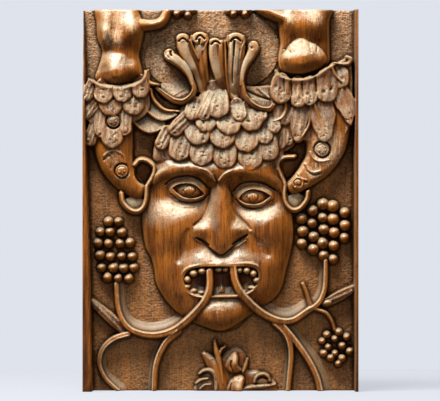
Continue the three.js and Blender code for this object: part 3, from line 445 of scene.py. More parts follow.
def carveBunches():
    drift = grapes["drift"]
    for bunchRows, step, size in grapes["bunches"]:
        for startX, startY, count in bunchRows:
            for i in range(count):
                x = startX + i * step[0] + chance.uniform(-drift, drift)
                y = startY + i * step[1] + chance.uniform(-drift, drift)
                radius = size * chance.uniform(*grapes["sizeSpread"])
                level = grapes["level"] + chance.uniform(*grapes["levelSpread"])
                boss((x, y), (radius, radius), level, foot=0.3, finish="grape")


leftFigure = {
    "body": [(92, 4), (94, 12), (96, 22), (96.5, 32), (98, 41), (101, 47), (102, 53), (100.5, 60),
             (97.5, 69), (95, 77), (98, 83), (106, 86), (118, 88), (130, 87), (139, 83.5), (143.5, 77),
             (142, 69), (140, 61), (139, 54), (140.5, 47), (142.5, 38), (143.5, 30), (142, 20), (139, 12),
             (138, 4)],
    "spots": [
        # arm against the side, breast, and the other arm's root
        (98, 6, 0.52), (104, 6, 0.66), (109, 6, 0.68), (116, 6, 0.62), (123, 6, 0.62), (130, 6, 0.60),
        (136, 6, 0.54), (98, 20, 0.58), (104, 18, 0.80), (109, 18, 0.84), (98, 32, 0.62), (103, 31, 0.92),
        (108, 31, 0.97), (112, 30, 0.80), (99, 41, 0.62), (104, 40, 0.90), (108, 40, 0.86), (103, 46, 0.74),
        (107, 47, 0.64), (103, 51, 0.52), (116, 18, 0.74), (121, 18, 0.74), (116, 32, 0.78),
        (121, 32, 0.80), (116, 43, 0.80), (122, 43, 0.78), (127, 16, 0.76), (134, 15, 0.74),
        (139, 18, 0.68), (127, 26, 0.92), (133, 26, 0.98), (139, 28, 0.86), (127, 35, 0.90),
        (133, 35, 0.95), (140, 36, 0.74), (129, 44, 0.72), (136, 44, 0.66),
        # waist and belly
        (104, 55, 0.56), (110, 54, 0.68), (118, 54, 0.70), (126, 54, 0.66), (134, 55, 0.58), (139, 55, 0.46),
        (112, 58, 0.78), (120, 58, 0.80), (110, 65, 0.86), (116, 65, 0.92), (122, 65, 0.90), (111, 71, 0.97),
        (117, 71, 1.00), (123, 71, 0.97), (112, 78, 0.92), (118, 78, 0.97), (124, 78, 0.88), (117, 86, 0.70),
        (111, 85, 0.60), (123, 85, 0.60), (103, 60, 0.58), (100, 66, 0.52), (105, 68, 0.64), (99, 76, 0.48),
        (105, 77, 0.62), (129, 60, 0.68), (135, 62, 0.62), (130, 67, 0.80), (137, 68, 0.66), (131, 74, 0.74),
        (137, 75, 0.58), (130, 80, 0.56), (140, 80, 0.42),
    ],
    "gutter": [(92, 78), (98, 83), (106, 86), (118, 88), (130, 87), (138, 83.5), (144, 76), (141, 70),
               (120, 72), (98, 70)],
    "skirt": [(83, 88), (92, 80), (104, 86), (120, 88), (138, 85), (148, 76), (150, 96), (148, 112),
              (134, 122), (112, 126), (92, 124), (83, 112)],
    # curved leaves thrown out to the right: outline, the rim along its lower edge, and level
    "crescents": [
        ([(124, 104), (131, 119), (139, 128), (149, 133.5), (159, 131), (166, 124), (156, 118), (146, 110),
          (138, 102)],
         [(129, 113), (134, 122), (142, 129.6), (150, 132.6), (158, 130.6)], 0.56),
        ([(139, 92), (143, 104), (148, 113), (156, 119.6), (166, 121), (178, 114.6), (167, 111), (158, 105.5),
          (151, 92)],
         [(143, 102), (148, 111.6), (156, 118), (165, 119.8), (176, 115)], 0.66),
    ],
    "crescentBed": [(138, 84), (150, 84), (164, 100), (186, 102), (188, 114), (168, 134), (146, 128),
                    (130, 112)],
    "crescentHollow": [(149, 88), (154, 98), (162, 107), (171, 111.5), (181, 111), (187, 104), (170, 101),
                       (158, 93)],
    "hollowRim": [(151, 89), (153, 98), (158.5, 105.5), (166, 110.5), (179, 111.5)],
    # straps, each with its line, half widths and levels
    "tail": ([(113, 108), (113, 128), (113.5, 148), (117, 164), (126, 180), (137, 190.5)],
             [19.5, 19.5, 19.5, 17, 12.5, 9], [0.62, 0.68, 0.72, 0.70, 0.64, 0.54]),
    "arm": ([(138, 25), (147, 25), (156, 24), (162.5, 20.5), (166.5, 13), (168.5, 4)],
            [7, 5.6, 5, 5, 4.6, 4.4], [0.80, 0.68, 0.64, 0.62, 0.6, 0.56]),
    "hem": ([(90.5, 79.5), (97, 84.6), (106, 87.6), (118, 88.6), (129, 87.8), (137, 85), (143.5, 80),
             (147, 71)],
            [3, 5, 6, 5, 6.5, 5, 6, 5, 6, 2], [0.84, 0.92, 0.88, 0.91, 0.86, 0.9, 0.86, 0.9, 0.92, 0.86]),
    "hemAbove": [1, 1.5, 3, 3.5, 3.5, 3, 1.5, 1],
    "hip": ([(145, 71), (146.5, 78.5), (150, 83.5), (158.5, 85)], [1, 2.2, 2.6, 1], [0.84, 0.84, 0.78]),
    # leaves, each with its root and tip, half width, level of root and tip, and how many pits
    "tailLeaves": [
        ((99, 112), (88.5, 146), 6.5, (0.56, 0.66), 2), ((102, 112), (101.5, 138), 7.5, (0.68, 0.76), 3),
        ((125, 110), (124.5, 136), 7.5, (0.68, 0.76), 3), ((113, 120), (112, 148.5), 10.5, (0.72, 0.83), 5),
    ],
    "skirtLeaves": [
        # lower row; the first one isn't bent, but a little pointed, with three gouges
        ((99, 95), (84, 119.5), 6.8, (0.62, 0.74), 0, 0, 0.3, 3),
        ((111, 96), (111.5, 115.5), 12.4, (0.68, 0.80), 5), ((134, 95), (134, 115.5), 10.8, (0.68, 0.80), 5),
        # upper row
        ((91, 84), (86.5, 101.5), 5.6, (0.80, 0.86), 2), ((103.5, 86), (104, 104), 9.4, (0.84, 0.88), 5),
        ((122.5, 87), (122.5, 102.5), 9.4, (0.84, 0.88), 4), ((140, 82), (141.5, 98.5), 9.2, (0.84, 0.88), 4),
    ],
    # place, radius, level of the sunk ring and of the button, finish and section
    "buttons": [((122, 171), 6.2, 0.56, 0.76, "skin", roundTop),
                ((113.5, 121.5), 6.2, 0.6, 0.84, "leaf", roundTop)],
    "tailRidge": [(104, 156), (109, 152), (116, 151), (124, 156), (126, 163)],
    "tailGroove": [(104, 160), (109, 156), (112, 160), (111, 168)],
    "pleats": [[(113, 88), (113.5, 100)], [(131.5, 88), (132.5, 98)], [(95, 85), (95.5, 96)]],
}


def carveLeftFigure():
    # tail, curving in to the loop beside the mask
    strap(*leftFigure["tail"], foot=0.36)
    for row in leftFigure["tailLeaves"]:
        leaf(*row)
    ridge(leftFigure["tailRidge"], [1.8], 0.05)
    groove(leftFigure["tailGroove"], [1.8], 0.05)
    for button in leftFigure["buttons"]:
        ringedBoss(*button)
    # folded leaves thrown out towards the crest
    field(leftFigure["crescentBed"], 0.34, finish="leaf")
    for outline, rim, top in leftFigure["crescents"]:
        x0, y0 = rim[2]
        field(outline, lambda depth, x, y: top + 0.014 * (y - y0) + 0.004 * (x - x0), finish="leaf")
        strap(rim, [0.8, 1.3, 1.4, 1.2, 0.8], [top + 0.02], foot=0.85)
    field(leftFigure["crescentHollow"], 0.36, join="lower", finish="leaf")
    strap(leftFigure["hollowRim"], [1.2, 1.7, 1.9, 1.8, 1.2], [0.76], foot=0.8)
    # the skirt, from its lowest row up
    field(leftFigure["skirt"], 0.68, finish="leaf")
    for row in leftFigure["skirtLeaves"]:
        leaf(*row)
    # body and arm, in a gutter behind the rim of the skirt
    field(leftFigure["gutter"], 0.50, join="lower")
    form(leftFigure["body"], leftFigure["spots"], 0.3, 7)
    strap(*leftFigure["arm"], foot=0.4, join="melt")
    strap(*leftFigure["hem"], foot=0.84, section=softTop, left=leftFigure["hemAbove"], join="melt",
          finish="leaf")
    strap(*leftFigure["hip"], foot=0.8)
    for line in leftFigure["pleats"]:
        groove(line, [1.2, 1.6, 1], 0.07)


rightFigure = {
    "body": [(280, 4), (279, 14), (278.5, 24), (279.5, 34), (280.5, 44), (279, 54), (278.5, 62), (281, 70),
             (289, 74.5), (300, 76), (311, 73.5), (321, 69.5), (329, 62.5), (330, 50), (329.5, 36),
             (329.5, 22), (330, 4)],
    "spots": [
        (282, 6, 0.54), (289, 6, 0.68), (300, 6, 0.68), (312, 6, 0.70), (322, 6, 0.66), (329, 6, 0.56),
        (281, 16, 0.58), (288, 16, 0.82), (295, 16, 0.78), (303, 16, 0.80), (312, 16, 0.84), (321, 16, 0.80),
        (328, 17, 0.62), (281, 25, 0.56), (288, 24, 0.88), (296, 25, 0.84), (304, 26, 0.86), (313, 26, 0.90),
        (321, 26, 0.84), (328, 27, 0.60), (282, 35, 0.48), (290, 33, 0.76), (300, 34, 0.74), (310, 35, 0.76),
        (320, 37, 0.70), (328, 38, 0.52), (284, 43, 0.52), (288, 41, 0.62), (294, 40, 0.64), (310, 42, 0.66),
        (318, 43, 0.58), (325, 47, 0.52), (300, 60, 0.56), (285, 62, 0.50), (320, 62, 0.50), (300, 74, 0.50),
    ],
    "belly": [(281, 62), (282, 55), (286.5, 49.5), (291, 43.5), (297, 39.5), (303, 38.5), (309, 42),
              (316, 45), (322, 50), (326.5, 57), (326, 62), (320, 68), (312, 71.5), (302, 74), (292, 73.5),
              (284, 70)],
    "bellySpots": [
        (283, 60, 0.80), (288, 53, 0.82), (293, 46, 0.80), (299, 42, 0.78), (305, 42.5, 0.79),
        (312, 47, 0.81), (319, 52, 0.80), (324, 58, 0.76), (290, 58, 0.92), (298, 53, 0.93),
        (306, 53, 0.94), (314, 56, 0.91), (294, 64, 0.96), (303, 62, 1.02), (312, 62, 0.95),
        (320, 61, 0.86), (286, 67, 0.76), (295, 71, 0.82), (304, 71, 0.84), (313, 69, 0.78),
        (322, 65, 0.68),
    ],
    "gutter": [(277, 70), (282, 75.5), (292, 78), (303, 78), (312, 75), (322, 70), (329, 65), (332, 58),
               (322, 52), (282, 56)],
    "skirt": [(271, 82), (277, 74), (290, 79), (304, 80), (322, 71), (334, 64), (351, 62), (351, 118),
              (338, 140), (302, 140), (284, 124), (272, 106)],
    "leafBed": [(263, 112), (276, 104), (296, 120), (296, 142), (284, 152), (268, 148)],
    # straps, each with its line, half widths and levels
    "tail": ([(328, 100), (328.5, 125), (326, 145), (320, 161), (310, 173), (300, 182), (294.5, 186)],
             [23, 22.5, 20.5, 16, 12.4, 9.4, 8], [0.62, 0.68, 0.72, 0.70, 0.66, 0.62, 0.56]),
    "arm": ([(258, 4), (266, 10), (275, 14.5), (284, 18), (290, 21)], [7.5, 6.5, 6, 6.5, 6],
            [0.6, 0.66, 0.72, 0.80, 0.84]),
    "hem": ([(277, 71), (281, 77), (290, 79.6), (302, 80.2), (313, 77.4), (322, 72.4), (329, 67.4),
             (335, 64.4)],
            [2, 6, 9, 10, 10, 10, 8, 3], [0.80, 0.90, 0.95, 0.96, 0.96, 0.96, 0.92, 0.84]),
    "hip": ([(329, 67), (334, 63.5), (341, 64.5), (348, 64), (350.5, 60), (347, 57.5)],
            [1, 1.3, 1.5, 2.2, 2.8, 2.2], [0.86, 0.84]),
    # leaves, each with its root and tip, half width, level of root and tip, how many pits,
    # how far it bends, how pointed it is, and its gouges
    "lowLeaves": [
        ((268, 118), (270, 148), 4.5, (0.46, 0.54)), ((280, 116), (280, 150), 6, (0.50, 0.60)),
        ((288, 122), (288, 146), 6, (0.54, 0.62), 3),
    ],
    # a folded leaf and the fold along it: line, half widths, levels and foot
    "foldedLeaves": [
        (((304, 98), (297.5, 143), 10, (0.68, 0.76), 3, 2, 0.5),
         [(310.5, 102), (310.5, 114), (308, 127), (299, 141)], [1, 1.3, 1.3, 0.8], [0.82], 0.9),
        (((320, 98), (325.5, 142), 13.4, (0.72, 0.84), 7, 0, 0.45, 2),
         [(313.5, 102), (317, 112), (321, 124), (326, 139)], [1, 1.5, 1.5, 0.8], [0.86, 0.89, 0.91, 0.89],
         0.92),
        (((336, 88), (351, 126), 10.4, (0.72, 0.84), 5, -3, 0.8),
         [(342, 90), (347, 104), (350.5, 122)], [1, 1.3, 0.8], [0.84, 0.87], 0.92),
        (((288, 98), (281, 125.5), 9.6, (0.54, 0.68), 0, 4),
         [(285.5, 102), (285.5, 111), (281, 118.5), (272.5, 121.5)], [1, 1.7, 1.7, 0.8], [0.78], 0.85),
    ],
    "skirtLeaves": [
        ((281, 82), (281, 104), 10.8, (0.82, 0.87), 5), ((327, 76), (327, 103), 10.8, (0.84, 0.89), 5),
        ((298, 82), (298, 108), 7.6, (0.84, 0.88), 4), ((309, 82), (309.5, 106), 7.8, (0.85, 0.90), 4),
        ((336, 72), (344, 88), 9, (0.70, 0.82), 3, -2),
    ],
    "skirtPits": [(276, 87), (298.5, 99.5), (307, 94.5), (323, 92), (331, 89), (342, 79)],
    "button": ((322, 149.5), 7, 0.60, 0.78, "leaf", flatTop),
    "buttonRidge": [(310, 152), (313, 158.5), (320, 161.5), (329, 160)],
    "tailRidges": [[(304, 163), (307, 169), (313, 172.5), (320, 171)], [(296, 172), (300, 178), (306, 180)]],
    "tailEnd": (298, 183.5),
    "tailCurl": [(295, 186), (294, 181.5), (298, 179), (301.5, 182), (300, 186), (297.5, 185)],
    "pleats": [[(284, 79), (284.5, 92)], [(291, 81), (291.5, 96)], [(302, 82), (303, 97)],
               [(315, 78), (316.5, 92)]],
    "flutes": [[(287.5, 80), (288, 94)], [(324, 71), (327.5, 80), (330, 88)],
               [(331.5, 66), (335, 75), (341, 82)]],
    "bellyFolds": [[(283.5, 49), (287, 50), (291, 54)], [(290.5, 43), (293, 47)],
                   [(309, 42), (309.5, 47), (311, 53)], [(317, 46), (317, 52)]],
}


def carveRightFigure():
    strap(*rightFigure["tail"], foot=0.44, section=flatTop)
    for line in rightFigure["tailRidges"]:
        ridge(line, [1.4, 1.8, 1.4], 0.045)
        groove([(x + 0.8, y + 2.6) for x, y in line], [1.6], 0.06)
    boss(rightFigure["tailEnd"], (6, 6.5), 0.72, foot=0.85)
    groove(rightFigure["tailCurl"], [1.1], 0.08)
    ringedBoss(*rightFigure["button"])
    ridge(rightFigure["buttonRidge"], [1, 1.5, 1.5, 1], 0.06)
    # folded leaves under the skirt
    field(rightFigure["skirt"], 0.62, finish="leaf")
    field(rightFigure["leafBed"], 0.40, finish="leaf")
    for row in rightFigure["lowLeaves"]:
        leaf(*row)
    for row, line, half, top, foot in rightFigure["foldedLeaves"]:
        leaf(*row)
        strap(line, half, top, foot)
    for row in rightFigure["skirtLeaves"]:
        leaf(*row)
    for at in rightFigure["skirtPits"]:
        swell(at, (2.6, 3.2), -0.055)
    # a fluted band holds the leaves of the skirt at the top
    strap(*rightFigure["hem"], foot=0.78, section=softTop, left=[1], join="melt", finish="leaf")
    for line in rightFigure["pleats"]:
        groove(line, [1.2, 1.8, 1], 0.09)
    for line in rightFigure["flutes"]:
        strap(line, [0.9, 1.4, 0.8], [0.93], foot=0.94)
    strap(*rightFigure["hip"], foot=0.85, finish="leaf")
    # body, belly and arm
    field(rightFigure["gutter"], 0.50, join="lower")
    form(rightFigure["body"], rightFigure["spots"], 0.3, 6)
    strap(*rightFigure["arm"], foot=0.4, join="melt")
    form(rightFigure["belly"], rightFigure["bellySpots"], 0.62, 4)
    for line in rightFigure["bellyFolds"]:
        groove(line, [1, 1.5, 0.9], 0.035)


crest = {
    # rolls of the folded ribbons, the deepest ones first: line, half width, level and finish
    "rolls": [
        ([(224, 90), (234, 99), (246, 107), (259, 112), (271, 111)], [3, 3.6, 3.6, 3.2, 1.6],
         [0.66, 0.62], "skin"),
        ([(189, 42), (192, 52), (197, 63), (201, 78)], [3, 3.4, 3, 2.2], [0.76, 0.74, 0.6], "skin"),
        ([(182.6, 40), (183.2, 47), (186.5, 56), (192, 66), (197, 77), (202, 92)], [6, 6, 5, 4, 3.2, 2.6],
         [0.88, 0.87, 0.82, 0.56], "pale"),
        ([(200, 52), (202, 64), (203.4, 78), (206, 92)], [3.2, 3.8, 3.4, 2.6], [0.80, 0.80, 0.56], "skin"),
        ([(199.8, 40), (199.6, 49), (199.2, 58)], [6.6, 5, 2], [0.84, 0.83, 0.80], "pale"),
        ([(205.6, 44), (205, 56), (205.8, 70), (208, 84)], [2, 2.7, 2.5, 2], [0.88, 0.84, 0.6], "skin"),
        ([(213.4, 45), (213.8, 56), (216.6, 69), (221.4, 83), (228, 96)], [5, 5.2, 5, 4.4, 3],
         [0.89, 0.88, 0.82, 0.56], "pale"),
        ([(221, 43), (221.4, 58), (223, 76), (228, 95)], [3, 3.4, 3.2, 2.4],
         [0.92, 0.90, 0.84, 0.56], "skin"),
        ([(243, 47), (241.6, 58), (239.6, 70), (240, 86), (244, 101)], [2.6, 3.2, 3.2, 3.2, 2.6],
         [0.86, 0.84, 0.74, 0.6], "skin"),
        ([(235.6, 42), (235, 56), (233.6, 72), (234.8, 95)], [8, 7.4, 6.6, 5],
         [0.93, 0.91, 0.84, 0.58], "pale"),
        # the two outer ones
        ([(169.5, 56.5), (176, 60.5), (183.4, 66.6), (189.4, 75), (193, 85)], [5, 5.2, 4.4, 3.2, 2.2],
         [0.94, 0.93, 0.90, 0.86], "pale"),
        ([(192.8, 82), (194.6, 90), (191, 97.4), (183, 102), (174.5, 101), (165.5, 96), (155.6, 88)],
         [2.2, 2.6, 2.8, 2.8, 2.6, 2.2, 1.2], [0.86, 0.85, 0.82, 0.80, 0.78, 0.74, 0.68], "skin"),
        ([(254, 49), (249.4, 58), (245.2, 66), (242.6, 75), (241.6, 85)], [5.4, 4.6, 3.4, 2.6, 2.2],
         [0.94, 0.92, 0.88, 0.86], "pale"),
        ([(241.8, 82), (244.4, 95), (251, 104), (260.5, 109.2), (270, 109.8), (274, 105)],
         [2.2, 2.6, 2.8, 2.8, 2.4, 1.4], [0.86, 0.84, 0.82, 0.78], "skin"),
    ],
    # curled heads: place, half width and height, and level
    "heads": [
        ((169.2, 54.6), (5.2, 5.6), 0.90), ((182.6, 38.5), (6.4, 5), 0.90), ((199.8, 38.6), (8.2, 6.6), 0.93),
        ((214.6, 42.5), (6, 4.4), 0.90), ((235.8, 39), (8.6, 6.2), 0.95), ((253.6, 47.6), (5.4, 6.6), 0.95),
    ],
    # thin bright edges: line, half width and level
    "edges": [
        ([(191.6, 36), (191.8, 43), (194.4, 51), (198.4, 60)], [0.9, 1.2, 1.1, 0.6], [0.97, 0.93, 0.86]),
        ([(206.4, 35), (208, 40), (206, 46), (203, 51)], [0.9, 1.2, 0.9, 0.6], [0.97, 0.92, 0.86]),
        ([(225.2, 41), (225.8, 58), (226.6, 76), (229.5, 96)], [1, 1.2, 1.1, 0.8], [0.98, 0.92, 0.66]),
        ([(228, 36), (227.4, 42), (229, 50)], [0.9, 1.2, 0.8], [0.97, 0.90]),
        ([(243.6, 36), (244.6, 41), (242, 49), (240, 60)], [0.9, 1.2, 1.1, 0.8], [0.97, 0.90]),
        ([(192.2, 84), (193, 90), (189.4, 96), (182.6, 100.2), (174.8, 99.2), (166.4, 94.4), (157, 87)],
         [0.8, 1.1, 1.1, 1.1, 1.1, 1, 0.7], [0.90, 0.89, 0.87, 0.85, 0.83, 0.79, 0.74]),
        ([(243.4, 84), (246.2, 95), (252, 102.6), (260.6, 107.4), (269.4, 107.8), (272.6, 104)],
         [0.8, 1.1, 1.1, 1.1, 1, 0.7], [0.90, 0.88, 0.86, 0.82]),
    ],
    # dark cuts under the curls and down the slits
    "cuts": [
        ([(179, 42), (181.4, 39.6), (184.6, 39.6), (187.4, 42.6)], [1.2], 0.13),
        ([(196.4, 40.4), (198, 37.2), (201, 36.2), (204.6, 39.6)], [1.3], 0.17),
        ([(199.4, 40.6), (199.4, 44.5)], [1.8, 1.4], 0.16),
        ([(211.6, 45), (214, 42.4), (217, 42.2), (220, 44.6)], [1.2], 0.15),
        ([(231, 42), (233.4, 39.2), (237, 38.8), (240.4, 41.8)], [1.4], 0.2),
        ([(234.4, 42), (234.2, 48), (233.8, 56)], [1.7, 1.5, 1.1], 0.2),
        ([(233.8, 56), (232.8, 68), (232.4, 84)], [1.1, 1, 0.8], 0.1),
        ([(240, 50), (239, 62), (238, 76)], [1.2], 0.04),
        ([(250.4, 43.4), (250.2, 46.4), (251.6, 48.6)], [1.8], 0.26),
        ([(172.4, 51), (170.6, 53), (171.6, 56)], [1.6], 0.2),
        ([(166.6, 51), (166.4, 55), (168.6, 58.4)], [1.1], 0.08),
    ],
    # the hollow under the left ribbon, with low ridges in it
    "bowl": [(160, 84), (168, 80), (182, 76), (193, 74), (195, 92), (186, 100), (174, 99), (163, 93)],
    "bowlRise": 0.34,
    "bowlRidges": [[(165, 84), (170, 90)], [(174, 95), (186, 88)], [(177, 97), (189, 92)],
                   [(180, 90), (190, 84)]],
    # the leaf behind the right rim has a straight top edge and one fold
    "sideLeaf": [(243, 85.5), (258, 86.2), (270, 85.5), (273, 92), (273, 104), (262, 108), (250, 100)],
    "sideLeafGroove": [(247, 91), (257, 96), (268, 99.5)],
    "sideLeafRidge": [(258, 88), (263, 93), (269, 98)],
    # what shows between the ribbons lies deep
    "depths": [(180, 50), (193, 44), (200, 40), (207, 46), (209, 60), (211, 46), (222, 40), (235, 40),
               (242, 46), (243, 70), (246, 98), (230, 100), (214, 92), (196, 92), (190, 74)],
}


def carveCrest():
    # the bowl rises towards its lower right end
    def bowlLevel(depth, x, y):
        share = np.clip((y + 0.25 * x - 122) / 22, 0, 1)
        return ring["level"] + crest["bowlRise"] * share * share * (3 - 2 * share)

    field(crest["bowl"], bowlLevel, finish="ground")
    for line in crest["bowlRidges"]:
        ridge(line, [1.3], 0.03)
    field(crest["sideLeaf"], lambda depth, x, y: 0.50 + 0.004 * (y - 86), finish="leaf")
    groove(crest["sideLeafGroove"], [1.6, 2, 1.2], 0.1)
    ridge(crest["sideLeafRidge"], [2], 0.08)
    field(crest["depths"], lambda depth, x, y: 0.30 + 0.2 * np.clip((y - 50) / 40, 0, 1))
    for line, half, top, finish in crest["rolls"]:
        strap(line, half, top, foot=0.8, section=flatTop if finish == "pale" else rolled, finish=finish)
        if finish == "skin":
            wearAndLightLine(spline(line), max(half), -0.5)
    for at, radii, top in crest["heads"]:
        boss(at, radii, top, foot=0.93, section=flatTop, finish="pale")
    for line, half, top in crest["edges"]:
        strap(line, half, top, foot=0.9)
    for cut in crest["cuts"]:
        groove(*cut)


hair = {
    "level": 0.77,            # in the middle of the brow
    "middle": 219,            # squares from the left
    "halfWidth": 62,          # squares
    "fall": 0.2,              # share by which the head falls back over that half width
    "edgeWidth": 9,           # squares over which it turns back at its outline
    "rise": 0.18,             # a leaf's tip stands above its root by this level
    "brow": 130,              # above this line the head falls back
    "apex": 84,               # up to this one
    "apexFall": 0.22,
    "outline": [(153, 152), (156, 141), (166, 127), (183, 106), (196, 99), (202, 90), (209, 83), (228, 98),
                (240, 107), (262, 113), (279, 131), (284, 152), (278, 166), (220, 172), (160, 164)],
    "leaves": [
        # root, tip and half width, the first row over the brow
        ((167, 131), (159, 149.5), 6.8), ((182, 136), (177.5, 161), 10.6), ((204, 143), (198.5, 166), 11.8),
        ((224, 146), (225.5, 169), 12.4), ((251, 146), (249.5, 170.5), 12), ((266, 136), (269.5, 161), 11),
        # second row
        ((197, 124), (199.5, 144.5), 13.2), ((222, 128), (223.5, 148.5), 12.6),
        ((246, 132), (246.5, 152.5), 12.2), ((264, 128), (265.5, 144.5), 8.4),
        # third row
        ((190, 114), (171, 135), 7.4), ((206, 116), (206.5, 132), 10.2), ((229, 116), (229.5, 133.5), 12.4),
        ((251, 108), (251.5, 131.5), 12), ((272, 118), (276, 133.5), 6.4),
        # top row and the two leaves of the parting
        ((195, 103), (190.5, 120.5), 8), ((214, 92), (201.5, 120.5), 6.4), ((215, 90), (219, 118.5), 12.4),
        ((237, 104), (241, 121.5), 7.4), ((256, 110), (262, 122), 9),
    ],
    # parting lines on the two top leaves
    "partings": [[(208, 92), (200, 106), (196, 118)], [(213, 94), (207, 108), (203, 118)],
                 [(216, 96), (212, 112)]],
}


def carveHair():
    def head(x, y):
        sideways = 1 - hair["fall"] * ((x - hair["middle"]) / hair["halfWidth"]) ** 2
        up = np.clip((hair["brow"] - y) / (hair["brow"] - hair["apex"]), 0, 1)
        return (hair["level"] - hair["apexFall"] * up ** 1.4) * sideways

    field(hair["outline"],
          lambda depth, x, y: head(x, y) * (0.7 + 0.3 * shoulder(depth, hair["edgeWidth"])), finish="leaf")
    for root, tip, half in hair["leaves"]:
        leaf(root, tip, half, (float(head(*root)), float(head(*tip)) + hair["rise"]), pits=4)
    for line in hair["partings"]:
        ridge(line, [1.6, 1.8, 1.2], 0.045)


loops = {
    # line of each lip, and its half widths on the right and on the left
    "lips": [
        ([(135, 165), (139, 160.5), (144, 160), (150, 163), (154, 168), (152.5, 176), (148, 184)], 2.2, 3.4),
        ([(122, 193.5), (123.5, 202), (129, 208.5), (136, 211), (142, 208), (145.5, 200), (146.5, 186)],
         3.8, 2.2),
        ([(277.5, 169), (279, 161.5), (285, 157.5), (294, 157)], 2.2, 3.4),
        ([(277.5, 166), (281, 175), (285, 184), (284.5, 196), (287, 204.5), (293, 209.5), (300, 207.5),
          (306, 200), (307.5, 192)], 3.6, 2.2),
    ],
    "lipLevel": 0.62,
    "ears": [((143.5, 172), (9, 12)), ((287.5, 165.5), (8.5, 7.5))],
    "earLevel": 0.1,
    "cups": [((134, 203), (11, 7.4)), ((296, 201), (10.5, 8.4))],
    "cupLevel": 0.36,
    "rub": 0.55,         # how pale the lips are rubbed
    "rubHalf": 2.4,      # squares to each side of their line
}


def carveLoops():
    # hollows of the ears and of the cups below, then the lips around them
    for at, radii in loops["ears"]:
        boss(at, radii, loops["earLevel"], foot=1, join="lower")
    for at, radii in loops["cups"]:
        boss(at, radii, loops["cupLevel"], foot=0.7, finish="pale")
    for line, onRight, onLeft in loops["lips"]:
        strap(line, [onRight], [loops["lipLevel"]], foot=0.3, left=[onLeft], section=rolled)
        wearAndLightLine(spline(line), loops["rubHalf"], loops["rub"])


